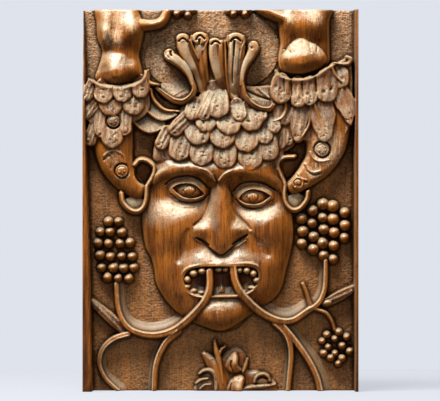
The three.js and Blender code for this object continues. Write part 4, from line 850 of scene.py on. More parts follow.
face = {
    "outline": [
        (158, 150), (153, 170), (148, 190), (144, 206), (142, 222), (145, 246), (151, 258), (154, 270),
        (156.5, 285), (164, 298), (172, 307.5), (182, 316), (199, 325), (207, 327.5), (214, 330),
        (222.5, 330.8), (232.5, 326.5), (248, 316.5), (266, 304.5), (276, 297), (282.5, 286), (286.5, 269),
        (290, 256), (293, 241), (293.5, 226), (291, 208), (287, 188), (282, 168), (274, 150),
    ],
    "edge": 0.2,         # level at the outline
    "edgeWidth": 22,     # squares over which the face turns back there
    "spots": [
        # forehead, brows and the notch between them
        (160, 158, 0.62), (180, 156, 0.70), (200, 158, 0.74), (221, 160, 0.76), (242, 160, 0.74),
        (262, 156, 0.68), (276, 158, 0.58), (154, 180, 0.58), (164, 172.5, 0.74), (178, 169.5, 0.86),
        (195, 169, 0.90), (206, 171.5, 0.91), (212.5, 178, 0.86), (221, 177, 0.86), (229, 173.5, 0.91),
        (241, 171.5, 0.91), (255, 172.5, 0.86), (269, 176, 0.76), (281, 185, 0.60), (217, 186, 0.72),
        # the steep fall under the brows, and the sockets
        (160, 182, 0.54), (170, 179, 0.58), (182, 177, 0.62), (195, 177.5, 0.62), (206, 184, 0.56),
        (229, 187, 0.56), (240, 181.5, 0.62), (254, 180.5, 0.62), (267, 183.5, 0.56), (277, 190, 0.50),
        (157, 194, 0.46), (163, 200, 0.46), (178, 203, 0.48), (194, 204, 0.48), (206, 201, 0.43),
        (209, 193, 0.43), (168, 209, 0.62), (186, 211, 0.66), (232, 198, 0.44), (234, 207, 0.46),
        (246, 209, 0.49), (260, 209, 0.49), (272, 203.5, 0.46), (279, 199, 0.46), (254, 215, 0.66),
        (268, 212, 0.64),
        # cheeks
        (153, 214, 0.56), (163, 217, 0.70), (174, 219.5, 0.79), (186, 220, 0.78), (197, 216, 0.62),
        (248, 219, 0.68), (257, 221, 0.79), (268, 219, 0.80), (279, 214, 0.66), (287, 208, 0.52),
        (154, 236, 0.64), (168, 238, 0.82), (180, 236, 0.80), (257, 238, 0.80), (270, 238, 0.83),
        (282, 234, 0.70), (158, 260, 0.62), (169, 264, 0.74), (272, 262, 0.75), (282, 256, 0.62),
        # hollows from the nose past the mouth, and the muzzle between them
        (184, 249, 0.70), (178, 258, 0.70), (258, 247, 0.72), (266, 254, 0.70), (198, 252, 0.72),
        (221, 256, 0.70), (244, 250, 0.72), (187, 263, 0.80), (203, 259.5, 0.88), (221, 259, 0.86),
        (238, 259, 0.88), (256, 262, 0.82), (176, 277, 0.74), (266, 275, 0.75), (182, 294, 0.74),
        (260, 292, 0.75), (203, 301, 0.68), (221, 302, 0.64), (238, 300, 0.67),
        # chin and jaws
        (221, 315, 0.95), (210, 314, 0.86), (232, 312.5, 0.88), (221, 325, 0.96), (208, 322, 0.86),
        (236, 319, 0.86), (197, 314, 0.70), (245, 308, 0.72), (180, 304, 0.62), (262, 300, 0.64),
        (167, 287, 0.62), (276, 282, 0.62),
    ],
    # place, half width and height, level, and how full it is
    "chin": [((221, 314), (26, 18), 0.88, 2.3), ((220, 313), (17, 12), 0.99)],
    # line, half width and level
    "brows": [
        ([(154, 182), (160, 175.5), (169, 171.5), (180, 169.5), (195, 169), (204, 171), (210, 175.5),
          (215, 181)],
         [3, 5, 6, 6.5, 6, 4.4, 2.8, 1.6], [0.56, 0.68, 0.80, 0.88, 0.92, 0.95, 0.93, 0.86]),
        ([(219.5, 181), (226, 175), (235, 171), (247, 171), (258, 173), (269, 177.5), (278, 185), (282, 191)],
         [1.6, 3, 4.6, 6, 6.5, 6, 5, 3], [0.86, 0.93, 0.96, 0.93, 0.87, 0.77, 0.62, 0.52]),
    ],
    "noseOutline": [(213, 180), (210, 196), (205, 214), (193, 224), (191, 231), (193, 237), (198, 241),
                    (207, 245.3), (214.5, 251), (220.5, 254.5), (226, 252), (234, 245.3), (243.5, 239.5),
                    (249, 235.5), (250, 228), (238, 214), (232, 196), (223, 180)],
    "noseSpots": [
        (217.5, 180, 0.68), (218, 190, 0.76), (219, 200, 0.83), (220.5, 212, 0.89), (221, 224, 0.95),
        (221, 236, 1.0), (221, 245, 0.99), (220.6, 253, 0.90), (213.6, 190, 0.66), (213.2, 201, 0.72),
        (213, 211, 0.78), (228, 190, 0.64), (229, 201, 0.70), (230.5, 211, 0.76), (209.6, 190, 0.50),
        (208.8, 201, 0.52), (205.5, 212, 0.56), (231.6, 190, 0.50), (233.4, 201, 0.52), (237, 212, 0.56),
        (199, 219, 0.58), (242, 219, 0.58), (209, 226, 0.86), (232, 226, 0.86), (198, 228, 0.82),
        (204, 230, 0.92), (237, 229, 0.92), (244, 229, 0.82), (191, 233, 0.68), (250.5, 232, 0.68),
        (201, 238, 0.80), (210, 241, 0.86), (232, 241, 0.86), (242, 236, 0.80), (212, 233, 0.91),
        (230, 233, 0.91), (205, 240, 0.78), (237, 240, 0.78),
    ],
    # line, half width and depth
    "folds": [
        ([(188, 230), (184, 239), (182, 248), (179, 260)], [3, 5.5, 6.5, 5], 0.045),
        ([(251, 234), (256, 241), (262, 247), (268, 254)], [3, 5.5, 6.5, 5], 0.04),
        ([(209.5, 188), (209.5, 200), (207.5, 212), (202, 219.5), (194, 225)], [1.6, 2.4, 2.4, 2.6, 2], 0.07),
        ([(231.6, 192), (233, 204), (237, 215), (244.5, 222.5), (250.5, 229)], [1.6, 2.4, 2.4, 2.6, 2],
         0.065),
        ([(172, 204), (182, 208), (194, 208)], [1.3], 0.025),
        ([(206, 190), (204, 198), (200, 203)], [1.2], 0.025),
    ],
    "browEdges": [[(200, 168.5), (207, 171), (212.5, 176), (215.5, 181.5)],
                  [(218.5, 181), (224, 174.5), (233, 170)]],
    "noseRoot": [(214, 176), (217, 183), (219, 188)],
    "nostrils": [
        ([(196.5, 238), (202, 240.6), (208.4, 245)], [1.2, 2.7, 1.7], 0.22),
        ([(233, 244.2), (239.2, 239.8), (247, 235)], [1.6, 2.9, 1.2], 0.24),
    ],
    "nostrilRim": [(231.5, 249), (238, 245.4), (245.5, 240.5)],
}

eyes = {
    "pair": [
        # upper lid, under lid, crease above, pouch below, place of the ball, and half sizes of the iris
        ([(172.5, 188), (178.5, 184.6), (186.5, 183.6), (193.5, 185), (199, 189), (204, 194.2)],
         [(172.5, 188), (176.5, 192.6), (183, 197), (190.5, 198.4), (198, 197.4), (204, 194.2)],
         [(165.5, 184.5), (173, 178.6), (187, 176), (199, 179.4), (208, 188.5)],
         [(171, 194), (180.5, 201), (191, 202.6), (200.5, 201), (207.5, 195.6)], (189.3, 190.8), (6.2, 5)),
        ([(270.5, 196), (266, 193.2), (260, 190.8), (252, 189.8), (245.5, 192), (239.5, 198)],
         [(270.5, 196), (266, 199.8), (260, 203.2), (251, 204.2), (243.5, 202.6), (239.5, 198)],
         [(275.5, 190.5), (264, 183.8), (252, 181.8), (240.5, 184), (233, 191.5)],
         [(271.5, 200.5), (262, 207), (251.5, 208.4), (242.5, 206), (236, 199.6)], (252.6, 197.4), (6, 5)),
    ],
    "swellHalf": (21, 14),      # the soft mass that the eye sits in
    "swellLevel": 0.60,
    "socketHalf": (18.5, 11.5),
    "socketLevel": 0.69,
    "lidLevels": (0.72, 0.69),
    "openingLevel": 0.47,
    "ballHalf": (12.6, 7.4),
    "ballLevel": 0.65,
    "irisLevel": 0.74,
    "rays": (-0.45, 0.0, 0.4),    # places of the gouged rays, as shares of the iris
}


# an eyeball with gouged rays in its opening, thick lids, and the creases above and below them
def carveEye(upper, under, crease, pouch, ball, iris):
    middle = ((upper[0][0] + upper[-1][0]) / 2, ball[1])
    mass(middle, eyes["swellHalf"], eyes["swellLevel"], 2.5)
    boss(middle, eyes["socketHalf"], eyes["socketLevel"], foot=0.76, join="melt")
    groove(crease, [1, 1.9, 2.1, 1.9, 1], 0.13)
    groove(pouch, [0.9, 1.7, 1.9, 1.7, 0.9], 0.12)
    for line, top in zip((upper, under), eyes["lidLevels"]):
        strap(line, [0.9, 1.4, 1.6, 1.6, 1.4, 0.9], [0.95 * top, top, top, top, 0.95 * top], foot=0.92)
    field([*upper, *under[-2:0:-1]], eyes["openingLevel"], join="lower")
    boss(ball, eyes["ballHalf"], eyes["ballLevel"], foot=0.7)
    boss(ball, iris, eyes["irisLevel"], foot=0.78)
    (x, y), (rx, ry) = ball, iris
    groove([(x - rx, y), (x, y - ry), (x + rx, y), (x, y + ry), (x - rx, y)], [0.9], 0.05)
    for share in eyes["rays"]:
        rayX = x + share * rx
        groove([(rayX, y - 0.6 * ry), (rayX + 0.5, y + 0.6 * ry)], [0.8], 0.04)


def carveFace():
    form(face["outline"], face["spots"], face["edge"], face["edgeWidth"])
    for part in face["chin"]:
        mass(*part)
    for line, half, top in face["brows"]:
        strap(line, half, top, foot=0.72, join="melt")
    for line in face["browEdges"]:
        ridge(line, [1, 1.5, 1.4, 1], 0.045)
    groove(face["noseRoot"], [1.4, 2.2, 1.4], 0.07)
    for eye in eyes["pair"]:
        carveEye(*eye)
    surface = surfaceThrough(face["noseSpots"])
    # the sides of the nose sink into the face, and only its underside is cut off sharply
    field(face["noseOutline"], lambda depth, x, y: surface(x, y))
    for nostril in face["nostrils"]:
        groove(*nostril)
    ridge(face["nostrilRim"], [1, 1.8, 1], 0.06)
    carveMouth()
    for fold in face["folds"]:
        groove(*fold)


mouth = {
    "upperLip": [(181.7, 282), (182.2, 274.5), (187.3, 268.4), (198, 265.2), (211.5, 263.6), (225, 264.4),
                 (234, 264), (246, 263.2), (255.5, 265.2), (259.8, 270), (260.6, 279)],
    "underLip": [(181.7, 281), (182.4, 286), (186.5, 291.3), (193, 295), (202, 297), (217, 296.5),
                 (232, 296), (243, 295), (252.5, 290.8), (258.8, 285), (260.6, 278)],
    "opening": [(184, 280), (185.4, 274), (190, 269.6), (199, 267.4), (212, 266.6), (230, 267), (246, 266.4),
                (254.6, 268.4), (257.8, 273), (258, 280), (255, 286), (248, 291.4), (238, 294), (221, 294.6),
                (203, 294.6), (193, 292), (186.5, 287)],
    # place, half width and height, and level
    "teeth": [
        ((239.6, 270), (3.2, 3.2), 0.90), ((246.6, 270.4), (3.8, 3.8), 0.93),
        ((253.4, 273.4), (3.6, 3.8), 0.92), ((256, 280), (3.2, 3.2), 0.88),
        ((251.6, 287.4), (4, 2.4), 0.80), ((243.6, 291), (3.4, 2), 0.76),
        ((218.6, 269.6), (3.8, 2.6), 0.90), ((225.6, 269.4), (3.2, 2.6), 0.90),
        ((202, 270.8), (4.4, 3.6), 0.93), ((193.6, 273.2), (4.4, 3.8), 0.92),
        ((187.4, 279.4), (3.4, 3.8), 0.90), ((187.8, 286.4), (3.2, 2.8), 0.84),
        ((193.6, 290.4), (3.8, 2.4), 0.80), ((201.4, 292.4), (3.6, 2.2), 0.76),
    ],
    "upperLipHalf": [1.3, 1.5, 1.7, 1.9, 2, 2.1, 2, 2, 1.9, 1.7, 1.4],
    "upperLipLevel": [0.78, 0.82, 0.88, 0.93, 0.95, 0.96, 0.95, 0.94, 0.9, 0.84, 0.78],
    "underLipHalf": [1.2, 1.3, 1.3, 1.4, 1.5, 1.8, 1.8, 1.5, 1.4, 1.3, 1.2],
    "underLipLevel": [0.76, 0.77, 0.78, 0.8, 0.84, 0.87, 0.87, 0.84, 0.8, 0.77, 0.76],
    "tongue": [(221.5, 283), (226, 290), (227, 294.5), (216.5, 294.5), (217.5, 290)],
}


def carveMouth():
    strap(mouth["upperLip"], mouth["upperLipHalf"], mouth["upperLipLevel"], foot=0.86)
    strap(mouth["underLip"], mouth["underLipHalf"], mouth["underLipLevel"], foot=0.88)
    field(mouth["opening"], lambda depth, x, y: 0.46 + 0.02 * np.maximum(8 - depth, 0), join="lower",
          finish="plank")
    for at, radii, top in mouth["teeth"]:
        boss(at, radii, top, foot=0.74, section=rolled, finish="pale")
    # the tongue stands between the stems
    field(mouth["tongue"], lambda depth, x, y: 0.5 + 0.04 * np.minimum(depth, 3))


vine = {
    "band": 2.7,        # squares, half the width of the band that stands up
    "bevel": 7.0,       # squares, the dusty slope beside it
    "bevelTop": 0.62,   # of the band's level
    "edgeAt": 0.55,     # where its thin raised edge runs, as a share of the band
    # line, levels, widths as shares of the band, slopes as shares of the bevel,
    # and whether the slope lies on the left
    "stems": [
        # out of the mouth, down over the chin and up again to the bunches
        ([(209.5, 271), (210, 283), (208.5, 293), (203.5, 302.5), (196.5, 311), (188, 319.5), (178, 327.5),
          (168, 332.5), (158, 335), (148, 335.2), (138, 333), (129, 328.5), (123, 321.5), (119, 312.5),
          (117, 302), (116, 284)],
         [0.92, 0.97, 0.98, 0.94, 0.86, 0.76, 0.66, 0.60, 0.56, 0.54, 0.54, 0.54, 0.52, 0.48, 0.44, 0.40],
         [1.35, 1.45, 1.4, 1.3, 1.1, 0.9, 0.8], [0.35, 0.7, 1.1, 1.3, 1.2, 0.8, 0.5], False),
        ([(233, 267), (235, 280), (240, 291), (247, 299.5), (255, 307.5), (264.5, 314.5), (275, 319.5),
          (285, 321.5), (294, 320), (303, 314.5), (311, 308.5)],
         [0.94, 0.98, 0.98, 0.92, 0.80, 0.68, 0.62, 0.58, 0.56, 0.54, 0.52],
         [1.5, 1.5, 1.4, 1.2, 1.1], [0.35, 0.8, 1.2, 1.3, 1], True),
        ([(308, 311), (317, 305), (322, 298), (325, 289), (326, 277), (326, 261)], [0.52, 0.46],
         [1, 0.9, 0.8], [0.7, 0.5], True),
        # branches that leave the panel at its foot
        ([(128, 334), (116, 337.5), (107, 343.5), (101, 352), (99, 363), (101.5, 372), (107, 381),
          (118, 391)],
         [0.5, 0.46, 0.42], [1.1, 0.8, 0.7], [0.3, 0.5, 0.5, 0.8], True),
        ([(178, 332), (168, 340), (162, 349), (157.5, 360), (155, 372), (154, 394)],
         [0.54, 0.44], [1.3, 1.1, 0.9], [0.3, 0.4], False),
        ([(276, 323), (285, 332), (290, 343), (291.5, 357), (290, 374), (288, 394)],
         [0.54, 0.44], [1.4, 1, 0.8], [0.2, 0.3], False),
        ([(283, 326), (293, 338), (304, 353), (312, 366), (318, 380), (321, 394)],
         [0.54, 0.46], [1.2, 1.1, 1.1], [0.5, 1, 1.1], True),
    ],
    # line, half widths and levels
    "twigs": [([(303, 284), (306.5, 292), (309, 301), (312, 309)], [1.7, 2.4], [0.44, 0.52]),
              ([(316, 309), (326, 313), (332, 321), (335, 330)], [2, 1.7], [0.5, 0.4])],
    "knot": ((328, 303), (4.5, 3.2), 0.54),
    # leaves that reach the margins, a little pointed and with two gouges each
    "leaves": [((123, 330), (90, 300), 5.4, (0.32, 0.40), 0, 0, 0.4, 2),
               ((326, 303), (359, 286), 5.2, (0.38, 0.46), 0, 0, 0.3, 2)],
}


# the slope beside a stem falls away with tool lines in it
def falling(aside):
    return 1 - 0.92 * aside + 0.035 * np.cos(aside * 20) * aside * (aside < 0.95)


# a band with a crisp edge, and on one side of it a low slope
def stem(line, top, wide, slope, turned):
    half = [share * vine["band"] for share in wide]
    lowSide = [half[0] + share * vine["bevel"] for share in slope]
    none = [0.01]
    right, left = (none, lowSide) if turned else (lowSide, none)
    low = [vine["bevelTop"] * level for level in top]
    strap(line, right, low, foot=0, section=falling, left=left, finish="slope")
    strap(line, half, top, foot=0.8, section=flatTop, finish="vine")
    points = spline(line)
    run = np.gradient(points, axis=0)
    run /= np.hypot(*run.T)[:, None]
    edgeAt = -vine["edgeAt"] if turned else vine["edgeAt"]
    edgeLine = points + np.c_[-run[:, 1], run[:, 0]] * edgeAt * vine["band"] * wide[0]
    ridge(edgeLine[::3], [1.1], 0.03)
    # a painted highlight along the raised edge
    wearAndLightLine(edgeLine, 1.3 * wide[-1], 0.8)


def carveVines():
    for row in vine["stems"]:
        stem(*row)
    for twig in vine["twigs"]:
        strap(*twig, foot=0.8, finish="vine")
    boss(*vine["knot"], foot=0.8, finish="vine")
    for row in vine["leaves"]:
        leaf(*row)


sprig = {
    "bed": [(211, 370), (220, 358), (230, 349), (238, 347.5), (246, 356), (248, 370), (258, 371), (272, 379),
            (277, 387), (270, 396), (200, 396), (198, 380)],
    # two swelling leaves, one over the other
    "hood": [(225, 367), (227, 360), (231, 354), (235.5, 351.5), (238.5, 357), (238.5, 365), (242, 370.5),
             (235, 373.5), (229, 372)],
    "hoodSpots": [(234, 356, 0.60), (230, 362, 0.56), (235, 363, 0.70), (232, 370, 0.58), (238.5, 370, 0.50),
                  (227, 367, 0.42)],
    "foot": [(225, 393), (229, 383), (234, 376.5), (240, 374.5), (244.5, 378), (243.5, 386), (241, 395),
             (232, 397)],
    "footSpots": [(235, 380, 0.60), (240, 378, 0.58), (231, 387, 0.54), (238, 388, 0.68), (228, 392, 0.42)],
    # straps, each with its line, half widths, levels and foot; the stalk bends in from the left
    "stalk": ([(204, 354), (210, 361), (217, 371), (221.5, 382), (223, 394)], [2.6, 5.4, 6.6, 6, 5],
              [0.26, 0.36, 0.42, 0.44], 0.5),
    "spikes": [
        ([(214.5, 340), (216.2, 350), (218.6, 359), (221, 370), (223, 384)], [0.7, 2.7, 2.9, 2.2, 1.4],
         [0.48, 0.54, 0.50, 0.48], 0.6),
        ([(225, 346.5), (221, 350), (218.6, 357)], [1.2, 1.7, 1.5], [0.44], 0.7),
    ],
    "edge": ([(247.5, 359), (245.6, 366), (243, 372)], [1.1, 1.9, 1.4], [0.42], 0.6),
    "cuts": [([(231.5, 361), (231, 366), (233.5, 372)], [1.4], 0.1),
             ([(233, 379), (231, 386), (229.5, 394)], [1.3], 0.09)],
    # small curls on the left
    "outerCurl": ([(199.5, 374), (204, 370.8), (210, 370.6), (214.5, 375), (216.5, 384), (216, 394)],
                  [1.3, 2, 2.3, 2.2, 2], [0.42, 0.44, 0.42], 0.7),
    "innerCurls": [([(196, 383.5), (201, 380), (207.5, 378.8)], [1.1, 1.9, 1.3], [0.44], 0.7),
                   ([(200, 389), (205, 385), (210, 384.6)], [1.1, 1.7, 1.2], [0.42], 0.7)],
    "curlBed": ((205, 385), (9, 8), 0.32, 0.5),
    # a cup on a ledge on the right
    "cup": ((262, 380), (7.4, 6), 0.44, 0.7),
    "cupRim": ([(254.4, 382.4), (256.6, 376.8), (262, 374), (267.6, 375.8), (270, 381)],
               [1.2, 1.7, 1.8, 1.7, 1.2], [0.52], 0.8),
    "cupGroove": [(257.6, 379.4), (262, 377.2), (267, 379)],
    "ledge": ([(243, 389), (252, 387.2), (262, 386.4), (275, 384.6)], [1.4, 2.4, 2.6, 1.3],
              [0.48, 0.54, 0.50, 0.40], 0.6),
}


def carveSprig():
    # a low bed of leaf that the others rise from
    field(sprig["bed"], lambda depth, x, y: 0.06 + 0.2 * shoulder(depth, 7))
    strap(*sprig["stalk"], section=rolled)
    for spike in sprig["spikes"]:
        strap(*spike)
    form(sprig["hood"], sprig["hoodSpots"], 0.3, 3.2)
    form(sprig["foot"], sprig["footSpots"], 0.3, 3.2)
    for cut in sprig["cuts"]:
        groove(*cut)
    strap(*sprig["edge"])
    strap(*sprig["outerCurl"], finish="leaf")
    boss(*sprig["curlBed"], finish="leaf")
    for curl in sprig["innerCurls"]:
        strap(*curl, finish="leaf")
    boss(*sprig["cup"], finish="leaf")
    strap(*sprig["cupRim"], finish="leaf")
    groove(sprig["cupGroove"], [1.7], 0.12)
    strap(*sprig["ledge"], finish="leaf")


# where the finish is made paler, for rubbed wax and painted highlights, and darker with a minus, for thick
# wax and painted shade: place, half width and height, and amount
wornAndLit = {
    "leftFigure": [
        ((118, 22), (10, 24), 0.7), ((107, 26), (6, 22), 0.7), ((132, 26), (10, 12), 0.7),
        ((148, 20), (12, 4), 0.5), ((131, 66), (7, 8), 0.3), ((101, 68), (7, 16), -0.7),
        ((134, 78), (10, 7), -0.6), ((104, 50), (7, 7), -0.3), ((134, 47), (9, 7), -0.3),
        ((118, 40), (8, 14), 0.5), ((108, 38), (8, 16), 0.6),
    ],
    "rightFigure": [
        ((292, 19), (11, 11), 0.6), ((315, 18), (14, 13), 0.6), ((303, 35), (28, 8), -0.3),
        ((283, 44), (6, 16), -0.4), ((327, 46), (5, 14), -0.5), ((303, 47), (20, 12), 0.7),
        ((288, 55), (8, 9), 0.5), ((321, 54), (8, 7), 0.4), ((303, 68), (24, 9), -0.5),
    ],
    # the ledges under the eyes, the brows, the wings of the nose, the lip and the chin
    "face": [
        ((176, 207), (34, 15), 0.7), ((259, 212), (30, 13), 0.7), ((172, 167), (20, 6), 0.2),
        ((250, 170), (28, 5), 0.2), ((213, 174), (7, 9), 0.4), ((199, 226), (10, 5), 0.5),
        ((243, 227), (9, 6), 0.4), ((205, 258), (18, 7), -0.3), ((240, 258), (18, 7), -0.3),
        ((218.5, 308.5), (13, 8), 0.35), ((221, 322), (24, 8), -0.2), ((221, 167), (60, 9), -0.3),
        ((240, 245), (8, 5), 0.6), ((262, 244), (10, 8), 0.25), ((150, 244), (9, 36), -0.4),
        ((162, 290), (14, 22), -0.5), ((289, 240), (8, 34), -0.4), ((276, 286), (12, 22), -0.5),
        ((186, 248), (9, 14), -0.4), ((218, 184), (7, 10), -0.4),
    ],
    # leaves of the two skirts and the hair, and the ground beside the crest
    "leaves": [
        ((115, 94), (38, 16), 0.5), ((308, 94), (38, 20), 0.45), ((212, 102), (26, 20), 0.3),
        ((220, 132), (60, 26), 0.12), ((158, 66), (15, 24), 0.4), ((266, 60), (12, 20), 0.2),
    ],
    # the crest, the right margin, the sprig and the tails
    "rest": [
        ((190, 74), (22, 30), -0.3), ((222, 76), (18, 30), -0.3), ((243, 84), (10, 26), -0.3),
        ((356.4, 200), (4, 300), -0.5), ((234.5, 359), (5, 7), 0.7), ((237, 384), (6, 9), 0.6),
        ((328, 148), (26, 30), 0.7), ((312, 172), (14, 12), 0.5), ((113, 158), (16, 16), 0.35),
    ],
    "teeth": [(at, radii, 0.8) for at, radii, _ in mouth["teeth"]],
}


def paintWearAndLight():
    for spots in wornAndLit.values():
        for spot in spots:
            wearAndLightSpot(*spot)


def carveAll():
    for step in (carveMargins, carveRing, carveBunches, carveSprig, carveLeftFigure, carveRightFigure,
                 carveHair, carveCrest, carveFace, carveLoops, carveVines):
        step()
        print("carved:", step.__name__[5:])


# a smooth random surface between -1 and 1, with lumps of the given width and height in squares
def lumps(width, height, seed):
    spread = np.random.default_rng(seed)
    countX = math.ceil((sheet["right"] - sheet["left"]) / width) + 3
    countY = math.ceil((sheet["bottom"] - sheet["top"]) / height) + 3
    coarse = spread.uniform(-1, 1, (countY, countX))
    x, y = (across - sheet["left"]) / width, (down - sheet["top"]) / height
    ix, iy = x.astype(int), y.astype(int)
    tx, ty = x - ix, y - iy
    tx, ty = (tx * tx * (3 - 2 * tx))[None, :], (ty * ty * (3 - 2 * ty))[:, None]
    upper = coarse[np.ix_(iy, ix)] * (1 - tx) + coarse[np.ix_(iy, ix + 1)] * tx
    lower = coarse[np.ix_(iy + 1, ix)] * (1 - tx) + coarse[np.ix_(iy + 1, ix + 1)] * tx
    return upper * (1 - ty) + lower * ty


# two passes of a running mean, over a radius in squares
def blurred(grid, radius):
    steps = max(1, round(radius / acrossStep))
    for _ in range(2):
        for axis in (0, 1):
            padded = np.pad(grid, [(steps + 1, steps) if a == axis else (0, 0) for a in (0, 1)], mode="edge")
            total = np.cumsum(padded, axis=axis)
            size = grid.shape[axis]
            ahead = np.take(total, np.arange(2 * steps + 1, 2 * steps + 1 + size), axis=axis)
            behind = np.take(total, np.arange(size), axis=axis)
            grid = (ahead - behind) / (2 * steps + 1)
    return grid


handWork = {
    # levels, then the lumps: share, width and height in squares, and seed
    "ledge": (0.028, [(0.5, 4, 3, 17), (0.5, 2, 1.8, 18)]),
    "leaf": (0.014, [(0.6, 3, 4, 11), (0.4, 1.7, 2.2, 12)]),
    "skin": (0.004, [(1, 2.2, 24, 13)]),
    "vine": (0.006, [(1, 3, 3, 14)]),
    "ground": (0.016, [(0.5, 7, 6, 15), (0.5, 2.4, 2.2, 16)]),
}


# the tool and the years leave no surface quite smooth, and no wall quite sharp
def workOver():
    facingUp = np.gradient(blurred(levels, 1.5), downStep, axis=0)
    places = dict(finishes)
    places["ledge"] = finishes["skin"] * np.clip(facingUp * 40 - 0.2, 0, 1)
    places["ground"] = 1 - np.clip(sum(finishes.values()), 0, 1)
    for name, (amount, layers) in handWork.items():
        pattern = sum(share * lumps(width, height, seed) for share, width, height, seed in layers)
        levels[:] = levels + amount * places[name] * pattern
    padded = np.pad(levels, 1, mode="edge")
    around = padded[:-2, 1:-1] + padded[2:, 1:-1] + padded[1:-1, :-2] + padded[1:-1, 2:]
    levels[:] = np.minimum((4 * levels + around) / 8, 1)
    for line in (levels[0], levels[-1], levels[:, 0], levels[:, -1]):
        line -= carving["brokenEdge"]


# the points of the panel's front or back, their numbers counted on from the first, and its quads
def gridOf(x, depth, z, first):
    points = np.stack([np.broadcast_to(x, depth.shape), depth, np.broadcast_to(z[:, None], depth.shape)], -1)
    number = first + np.arange(depth.size).reshape(depth.shape)
    quads = np.stack([number[:-1, :-1], number[1:, :-1], number[1:, 1:], number[:-1, 1:]], -1).reshape(-1, 4)
    return points.reshape(-1, 3), number, quads


def panelSolid():
    x = np.linspace(panelLow.x, panelHigh.x, columns + 1)
    z = np.linspace(panelHigh.z, panelLow.z, rows + 1)
    thickness = groundThickness + carving["reliefDepth"] * levels
    front, fronts, frontQuads = gridOf(x, -thickness, z, 0)
    # the back is sawn, and coarser than the front
    x, z = x[::backStep], z[::backStep]
    waves = (0.5 + 0.5 * np.sin(z * carving["backWaves"]))[:, None] * np.ones(len(x))
    waves[[0, -1], :] = 0
    waves[:, [0, -1]] = 0
    back, backs, backQuads = gridOf(x, -carving["backWaviness"] * waves, z, fronts.size)
    faces = frontQuads.tolist() + backQuads[:, ::-1].tolist()
    # the four sides, where each edge of the back meets several of the front
    sides = [(fronts[0, ::-1], backs[0, ::-1]), (fronts[:, 0], backs[:, 0]),
             (fronts[-1], backs[-1]), (fronts[::-1, -1], backs[::-1, -1])]
    for fine, coarse in sides:
        for k in range(len(coarse) - 1):
            run = fine[backStep * k:backStep * (k + 1) + 1]
            faces.append([*run[::-1].tolist(), int(coarse[k]), int(coarse[k + 1])])
    mesh = bpy.data.meshes.new("greenManCarving")
    mesh.from_pydata(np.concatenate([front, back]).tolist(), [], faces)
    mesh.update()
    return mesh


def placed(name, data):
    made = bpy.data.objects.new(name, data)
    bpy.context.scene.collection.objects.link(made)
    return made


def thinned(mesh, triangles):
    piece = placed("greenManRelief", mesh)
    whole = sum(len(p.vertices) - 2 for p in mesh.polygons)
    thin = piece.modifiers.new("Thin", "DECIMATE")
    thin.ratio = triangles / whole
    thin.use_collapse_triangulate = True
    graph = bpy.context.evaluated_depsgraph_get()
    final = bpy.data.meshes.new_from_object(piece.evaluated_get(graph))
    piece.modifiers.clear()
    piece.data = final
    bpy.data.meshes.remove(mesh)
    return piece


# three numbers of every vertex or face of a mesh, such as its place or its normal
def triplesOf(items, name):
    values = np.zeros(len(items) * 3)
    items.foreach_get(name, values)
    return values.reshape(-1, 3)


# thinning may push a vertex a hair's breadth out of the panel's box
def keepInBox(piece):
    places = np.clip(triplesOf(piece.data.vertices, "co"), np.array(panelLow), np.array(panelHigh))
    piece.data.vertices.foreach_set("co", places.ravel())
    piece.data.update()


# how far around it a corner or an edge is judged, in squares, and how strongly; crevice and recess darken the
# finish as painted shade
shading = {"crevice": (1.5, 15), "recess": (5, 3.2), "rub": (1.5, -16)}


# values of the carving that the finish reads, kept on the vertices
def keepFinish(piece):
    mesh = piece.data
    places = triplesOf(mesh.vertices, "co")
    column = np.clip((places[:, 0] - panelLow.x) / panelWidth * columns, 0, columns - 1e-6)
    row = np.clip((panelHigh.z - places[:, 2]) / panelHeight * rows, 0, rows - 1e-6)
    ic, ir = column.astype(int), row.astype(int)
    tc, tr = column - ic, row - ir

    def sampled(grid):
        return ((grid[ir, ic] * (1 - tc) + grid[ir, ic + 1] * tc) * (1 - tr)
                + (grid[ir + 1, ic] * (1 - tc) + grid[ir + 1, ic + 1] * tc) * tr)

    values = {"wearAndPaintedLight": wearAndPaintedLight, **finishes}
    for name, (radius, gain) in shading.items():
        values[name] = np.clip((blurred(levels, radius) - levels) * gain, 0, 1)
    onFront = places[:, 1] < -carving["backSkin"]
    for name, grid in values.items():
        attribute = mesh.attributes.new(name, "FLOAT", "POINT")
        attribute.data.foreach_set("value", np.where(onFront, sampled(grid), 0).astype(np.float32))


carveAll()
paintWearAndLight()
workOver()
relief = thinned(panelSolid(), carving["triangles"])
keepInBox(relief)
keepFinish(relief)
relief.data.shade_smooth()
relief.data.set_sharp_from_angle(angle=math.radians(carving["smoothAngle"]))
print("panel:", len(relief.data.polygons), "triangles")


